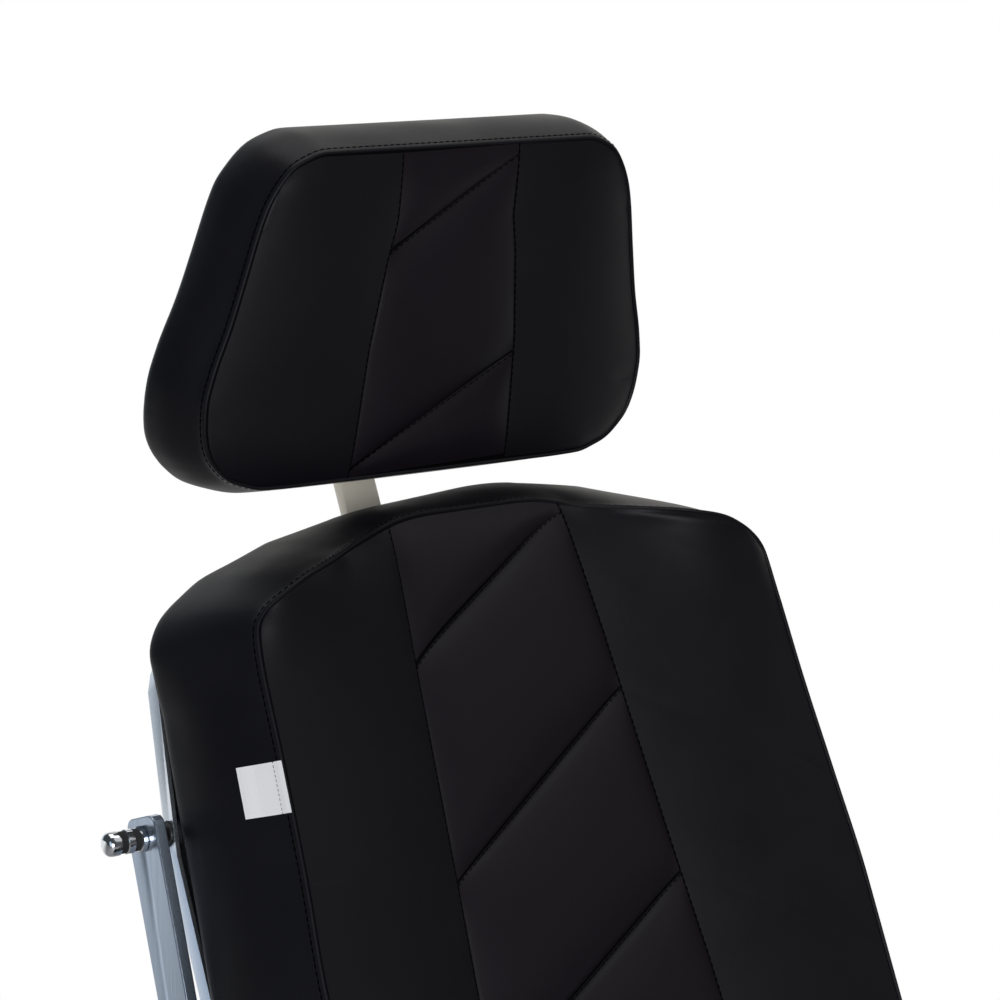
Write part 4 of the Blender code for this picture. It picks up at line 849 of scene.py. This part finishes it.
def make_tag():
    """Blank woven label, caught in the seam on the back's left side and lying on the band."""
    pad = PADS["back_cushion"]
    mesh = pad.piece.data
    steps_along, steps_across = 9, 12
    marks = [(pad.grid[j, i, 1], k) for k, (j, i) in enumerate(pad.rim) if i == 0]
    marks = sorted(m for m in marks if abs(m[0] - TAG_FALL) < TAG_ALONG)
    falls = [m[0] for m in marks]
    paths = []
    for fall, k in marks:
        line = np.array([mesh.vertices[ring[k]].co for ring in pad.ring_ids])
        reach = run_along(line)
        spots = np.linspace(TAG_START, TAG_ACROSS + TAG_START, steps_across)
        paths.append(np.stack([np.interp(spots, reach, line[:, c]) for c in range(3)], 1))
    paths = np.array(paths)
    shares = np.arange(steps_across) / (steps_across - 1)
    top = np.zeros((steps_along, steps_across, 3))
    for a in range(steps_along):
        for b in range(steps_across):
            fall = TAG_FALL + (a / (steps_along - 1) - 0.5) * TAG_ALONG - TAG_TURN * shares[b]
            top[a, b] = [np.interp(fall, falls, paths[:, b, c]) for c in range(3)]
    normals = np.cross(np.gradient(top, axis=0), np.gradient(top, axis=1))
    normals /= np.linalg.norm(normals, axis=2)[:, :, None]
    normals *= np.sign(-normals[:, :, :1])
    lift = TAG_LIFT + TAG_CURL * ease((shares - TAG_CURL_FROM) / TAG_CURL_OVER)[None, :, None]
    under, over = top + normals * lift, top + normals * (lift + TAG_THICK)
    points = np.concatenate([over.reshape(-1, 3), under.reshape(-1, 3)])
    count = steps_along * steps_across
    number = np.arange(count).reshape(steps_along, steps_across)
    faces = []
    for a in range(steps_along - 1):
        for b in range(steps_across - 1):
            quad = [number[a, b], number[a, b + 1], number[a + 1, b + 1], number[a + 1, b]]
            faces += [tuple(int(q) for q in quad), tuple(int(q) + count for q in reversed(quad))]
    border = list(number[0]) + list(number[1:, -1]) + list(number[-1, -2::-1]) + list(number[-2:0:-1, 0])
    for p, q in zip(border, border[1:] + border[:1]):
        faces.append((int(p), int(q), int(q) + count, int(p) + count))
    tag = mesh_piece("side_label", points, faces, (LOOKS["tape"],), smooth=False)
    finish_piece(tag, "back", "vinyl")
    beside_seam = over[:, 2] + (over[:, 3] - over[:, 2]) * 0.2
    line = beside_seam + normals[:, 2] * THREAD * THREAD_PROUD
    thread = lay_along("side_label_stitches", STITCHES, [(line, False)], TAG_SEWING)
    finish_piece(thread, "back", "vinyl")


make_tag()


# Arm pads


def rounded_plan(half_x, half_y, corner, turn_steps=8):
    """Outline of a rectangle with round corners, anticlockwise."""
    points = []
    for k, (sx, sy) in enumerate(((1, 1), (-1, 1), (-1, -1), (1, -1))):
        for step in range(turn_steps + 1):
            a = k * pi / 2 + step / turn_steps * pi / 2
            x, y = sx * (half_x - corner), sy * (half_y - corner)
            points.append((x + corner * cos(a), y + corner * sin(a)))
    return points


def closed_tube(rings):
    """Faces of a tube through rings of vertex numbers, with both ends closed."""
    faces = [face for pair in zip(rings, rings[1:]) for face in bridge(*pair)]
    return faces + [tuple(rings[0]), tuple(rings[-1])]


ARM_CORNER = 0.032
ARM_LEAST_CORNER = 0.004
ARM_PROFILE = ((0.010, 0.0), (0.003, 0.02), (0.0, 0.10), (0.0, 0.30), (0.0012, 0.34), (0.0, 0.38),
               (0.0005, 0.52), (0.003, 0.68), (0.008, 0.82), (0.015, 0.92), (0.024, 0.98),
               (0.032, 1.0))     # inset, share of the height


def make_arm_pad(side):
    """Moulded foam pad with a wrapped cover: straight foot, soft shoulders, slightly crowned top."""
    node = "arm_pad_" + side
    low, high = (Vector(v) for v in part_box(node))
    middle, size = (low + high) / 2, high - low
    points = []
    for inset, level in ARM_PROFILE:
        corner = max(ARM_LEAST_CORNER, ARM_CORNER - inset)
        plan = rounded_plan(size.x / 2 - inset, size.y / 2 - inset, corner)
        points += [(middle.x + x, middle.y + y, low.z + size.z * level) for x, y in plan]
    rings = np.arange(len(points)).reshape(len(ARM_PROFILE), -1).tolist()
    piece = mesh_piece("arm_pad_cover_" + side, points, closed_tube(rings), (LOOKS["vinyl"],))
    subdivide(piece)
    finish_piece(piece, "arm_" + side, "vinyl", node)


for side in ("left", "right"):
    make_arm_pad(side)


# Rigid pieces


STUD_SIDES = 48
STUD_GROOVE = 0.86
STUD_HEAD = ((1.0, 0), (1.0, 0.10), (STUD_GROOVE, 0.12), (STUD_GROOVE, 0.29), (0.95, 0.31), (0.95, 0.46),
             (STUD_GROOVE, 0.48), (STUD_GROOVE, 0.65), (0.96, 0.67), (0.96, 0.82), (0.90, 0.91),
             (0.74, 0.97), (0.44, 1.0))      # shares of its radius and of its length
STUD_SHADE = radians(40)     # shading breaks at sharper edges

ONE_FACE = radians(1)        # facets within this angle are one face
BROKEN_EDGE = radians(35)    # sharper edges are broken
EDGE_BREAK = 0.0008
SHADE_BREAK = radians(25)
SLOTS = {"bar": "stainless", "bright_edge": "stainless"}


def make_stud(side):
    """Turned chrome stud on the end of the arm pivot, with two dark grooves and a domed end."""
    node = "arm_stud_" + side
    low, high = (Vector(v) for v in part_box(node))
    middle, sign = (low + high) / 2, -1 if side == "left" else 1
    near, tip = sorted((abs(low.x), abs(high.x)))
    wide = (high.z - low.z) / 2
    profile = [(near + (tip - near) * level, wide * share) for share, level in STUD_HEAD]
    turns = [tau * k / STUD_SIDES for k in range(STUD_SIDES)]
    points = [(sign * x, middle.y + r * cos(a), middle.z + r * sin(a)) for x, r in profile for a in turns]
    faces = closed_tube(np.arange(len(points)).reshape(-1, STUD_SIDES).tolist())
    # The groove faces take the black rubber look, so the grooves show as two dark bands.
    looks = []
    for (_, first), (_, last) in zip(profile, profile[1:]):
        looks += [1 if first == last == wide * STUD_GROOVE else 0] * STUD_SIDES
    looks += [0, 0]
    piece = mesh_piece(node + "_finished", points, faces, (LOOKS["chrome"], LOOKS["rubber"]), looks)
    piece.data.set_sharp_from_angle(angle=STUD_SHADE)
    finish_piece(piece, "back", "chrome", node)


def dress(node, look):
    """Copy a CAD node, join its facets, break its sharp edges and give it a finish."""
    shape = bmesh.new()
    shape.from_mesh(frame["nodes"][node].data)
    bmesh.ops.remove_doubles(shape, verts=shape.verts, dist=1e-6)
    bmesh.ops.dissolve_limit(shape, angle_limit=ONE_FACE, verts=shape.verts, edges=shape.edges)
    sharp = [e for e in shape.edges if len(e.link_faces) == 2 and e.calc_face_angle(0.0) > BROKEN_EDGE]
    bmesh.ops.bevel(shape, geom=sharp, offset=EDGE_BREAK, offset_type="OFFSET", segments=2, profile=0.5,
                    affect="EDGES", clamp_overlap=True)
    mesh = bpy.data.meshes.new(node + "_finished")
    shape.to_mesh(mesh)
    shape.free()
    mesh.materials.append(LOOKS[look])
    mesh.shade_smooth()
    mesh.set_sharp_from_angle(angle=SHADE_BREAK)
    piece = new_object(node + "_finished", mesh)
    return finish_piece(piece, body_of_node[node], SLOTS.get(look, look), node)


def both(name):
    """Nodes of a piece that the chair has on its left and its right."""
    return [name + "_left", name + "_right"]


FINISHES = {
    "bar": ["head_bar"],
    "bright_edge": ["back_shell"],
    "stainless": [*both("arm_bar"), "headrest_pin", "lift_spindle", "back_actuator_rod", "leg_actuator_rod"],
    "aluminium": ["column_outer", "column_middle", "column_inner"],
    "painted_steel": ["base_plate", "pedal_bracket", *both("seat_rail"), "seat_crossbar_front",
                      "seat_crossbar_rear", *both("back_hinge_bracket"), *both("leg_hinge_bracket"),
                      *both("back_rail"), "back_crossbar", "back_torque_tube", *both("leg_rail"),
                      "leg_torque_tube", "head_socket", "headrest_bracket"],
    "grey_plastic": ["base_cover", "control_box"],
    "pale_plastic": ["headrest_shell"],
    "black_plastic": ["column_outer_glide", "column_middle_glide", "lift_motor", "power_inlet",
                      "back_actuator", "leg_actuator", *both("arm_spacer"), "head_knob"],
    "rubber": [*both("levelling_foot_front"), *both("levelling_foot_rear"), "pedal_back", "pedal_lift",
               "pedal_leg"],
    "plywood": ["seat_board", "back_board", "leg_board"],
}
for look, nodes in FINISHES.items():
    for node in nodes:
        dress(node, look)
for side in ("left", "right"):
    make_stud(side)


# Studio


FLOOR_HALF = 6
FLOOR_FADE = (0.5, 2.2)      # distance over which the floor turns white for the camera
SWEEP_RISE = (0.8, 1.8)      # distance over which it turns white in reflections, behind the chair
ROOM_LIGHT = 0.35            # level that lights the chair
ROOM_COOL, ROOM_WARM = (0.74, 0.87, 1.0, 1), (1.0, 0.98, 0.94, 1)
WHITE = (1, 1, 1, 1)
SWEEP = (0.48, 0.78, 1.0)    # cosines at which the sweep starts and is full, and its level
PANELS = ((Vector((0.50, -0.45, 0.74)), 0.84, 0.94, 0.75),
          (Vector((-0.86, -0.42, 0.16)), 0.90, 0.97, 0.9))     # direction, then as for the sweep
LAMPS = (("front", (-1.7, -2.4, 1.22), (0, 0.2, 1.05), 1.5, 52),
         ("overhead", (0.1, 0.7, 2.9), (0, 0.3, 1.0), 1.8, 16))  # place, aim, size, watts


def in_gloss(tree, path):
    """1 for the rays that metal or glass sends on."""
    return add(tree, "ShaderNodeMath", {0: path["Is Glossy Ray"], 1: path["Is Transmission Ray"]},
               operation="MAXIMUM").outputs[0]


def make_room(forward):
    """White for the camera; metal and vinyl see a white sweep behind, a dim room and two bright panels."""
    world = bpy.data.worlds.new("studio")
    bpy.context.scene.world = world
    world.use_nodes = True
    tree = world.node_tree
    back = tree.nodes["Background"]
    path = add(tree, "ShaderNodeLightPath").outputs
    ways = add(tree, "ShaderNodeTexCoord").outputs["Generated"]
    aside = add(tree, "ShaderNodeSeparateXYZ", {"Vector": ways})
    total = add(tree, "ShaderNodeMapRange", {"Value": aside.outputs["X"], "From Min": -0.6, "From Max": 0.6,
                                             "To Min": 0.07, "To Max": 0.12}).outputs["Result"]
    for way, first, full, level in ((forward, *SWEEP), *PANELS):
        near = add(tree, "ShaderNodeVectorMath", {0: ways, 1: way.normalized()}, operation="DOT_PRODUCT")
        patch = add(tree, "ShaderNodeMapRange", {"Value": near.outputs["Value"], "From Min": first,
                                                 "From Max": full, "To Max": level})
        total = add(tree, "ShaderNodeMath", {0: total, 1: patch.outputs["Result"]},
                    operation="MAXIMUM").outputs[0]
    shown = add(tree, "ShaderNodeMath", {0: total, 1: path["Is Camera Ray"]}, operation="MAXIMUM")
    mirrored = in_gloss(tree, path)
    seen = add(tree, "ShaderNodeMath", {0: mirrored, 1: path["Is Camera Ray"]}, operation="MAXIMUM")
    strength = add(tree, "ShaderNodeMix", {0: seen.outputs[0], 2: ROOM_LIGHT, 3: shown.outputs[0]})
    tree.links.new(strength.outputs[0], back.inputs["Strength"])
    cool = add(tree, "ShaderNodeMapRange", {"Value": aside.outputs["X"], "From Min": -0.5, "From Max": 0.5})
    tone = add(tree, "ShaderNodeMix", {0: cool.outputs["Result"], 6: ROOM_COOL, 7: ROOM_WARM},
               data_type="RGBA")
    plain = add(tree, "ShaderNodeMix", {0: mirrored, 6: WHITE, 7: tone.outputs[2]}, data_type="RGBA")
    tree.links.new(plain.outputs[2], back.inputs["Color"])


def make_studio():
    """Floor, lamps, room and the photograph's camera."""
    scene = bpy.context.scene
    corners = [(x * FLOOR_HALF, y * FLOOR_HALF, 0) for x, y in ((-1, -1), (1, -1), (1, 1), (-1, 1))]
    floor = mesh_piece("floor", corners, [(0, 1, 2, 3)], ())
    made, tree, shader, place = start("pale_floor", "#b8b8b8", 0.8)
    forward = -CAMERA_AT.normalized()
    path = add(tree, "ShaderNodeLightPath").outputs
    tint(tree, shader, path["Is Camera Ray"], "#b8b8b8", "#ececec")
    away = add(tree, "ShaderNodeVectorMath", {0: place}, operation="LENGTH")
    far = add(tree, "ShaderNodeMapRange", {"Value": away.outputs["Value"], "From Min": FLOOR_FADE[0],
                                           "From Max": FLOOR_FADE[1]})
    past = add(tree, "ShaderNodeVectorMath", {0: place, 1: forward}, operation="DOT_PRODUCT")
    sweep = add(tree, "ShaderNodeMapRange", {"Value": past.outputs["Value"], "From Min": SWEEP_RISE[0],
                                             "From Max": SWEEP_RISE[1]})
    direct = add(tree, "ShaderNodeMath", {0: path["Is Camera Ray"], 1: far.outputs["Result"]},
                 operation="MULTIPLY")
    bare = add(tree, "ShaderNodeMath", {0: in_gloss(tree, path), 1: sweep.outputs["Result"],
                                        2: direct.outputs[0]}, operation="MULTIPLY_ADD")
    white = add(tree, "ShaderNodeEmission", {"Color": WHITE, "Strength": 1.0})
    mix = add(tree, "ShaderNodeMixShader", {0: bare.outputs[0], 1: shader.outputs[0], 2: white.outputs[0]})
    tree.links.new(mix.outputs[0], tree.nodes["Material Output"].inputs["Surface"])
    floor.data.materials.append(made)
    for name, at, aim, size, power in LAMPS:
        lamp = bpy.data.lights.new(name, "AREA")
        lamp.size, lamp.energy = size, power
        holder = new_object(name, lamp)
        holder.location = at
        holder.rotation_euler = (Vector(aim) - Vector(at)).to_track_quat("-Z", "Y").to_euler()
    make_room(forward)
    camera = new_object("camera", bpy.data.cameras.new("camera"))
    middle = PADS["back_cushion"].spot.translation
    camera.location = middle + CAMERA_AT
    camera.rotation_euler = (CAMERA_AIM - CAMERA_AT).to_track_quat("-Z", "Y").to_euler()
    camera.data.lens, camera.data.sensor_width = CAMERA_LENS, 36
    scene.camera = camera
    scene.view_settings.view_transform = "Standard"
    scene.render.engine = "CYCLES"
    scene.render.resolution_x = scene.render.resolution_y = 1000


make_studio()
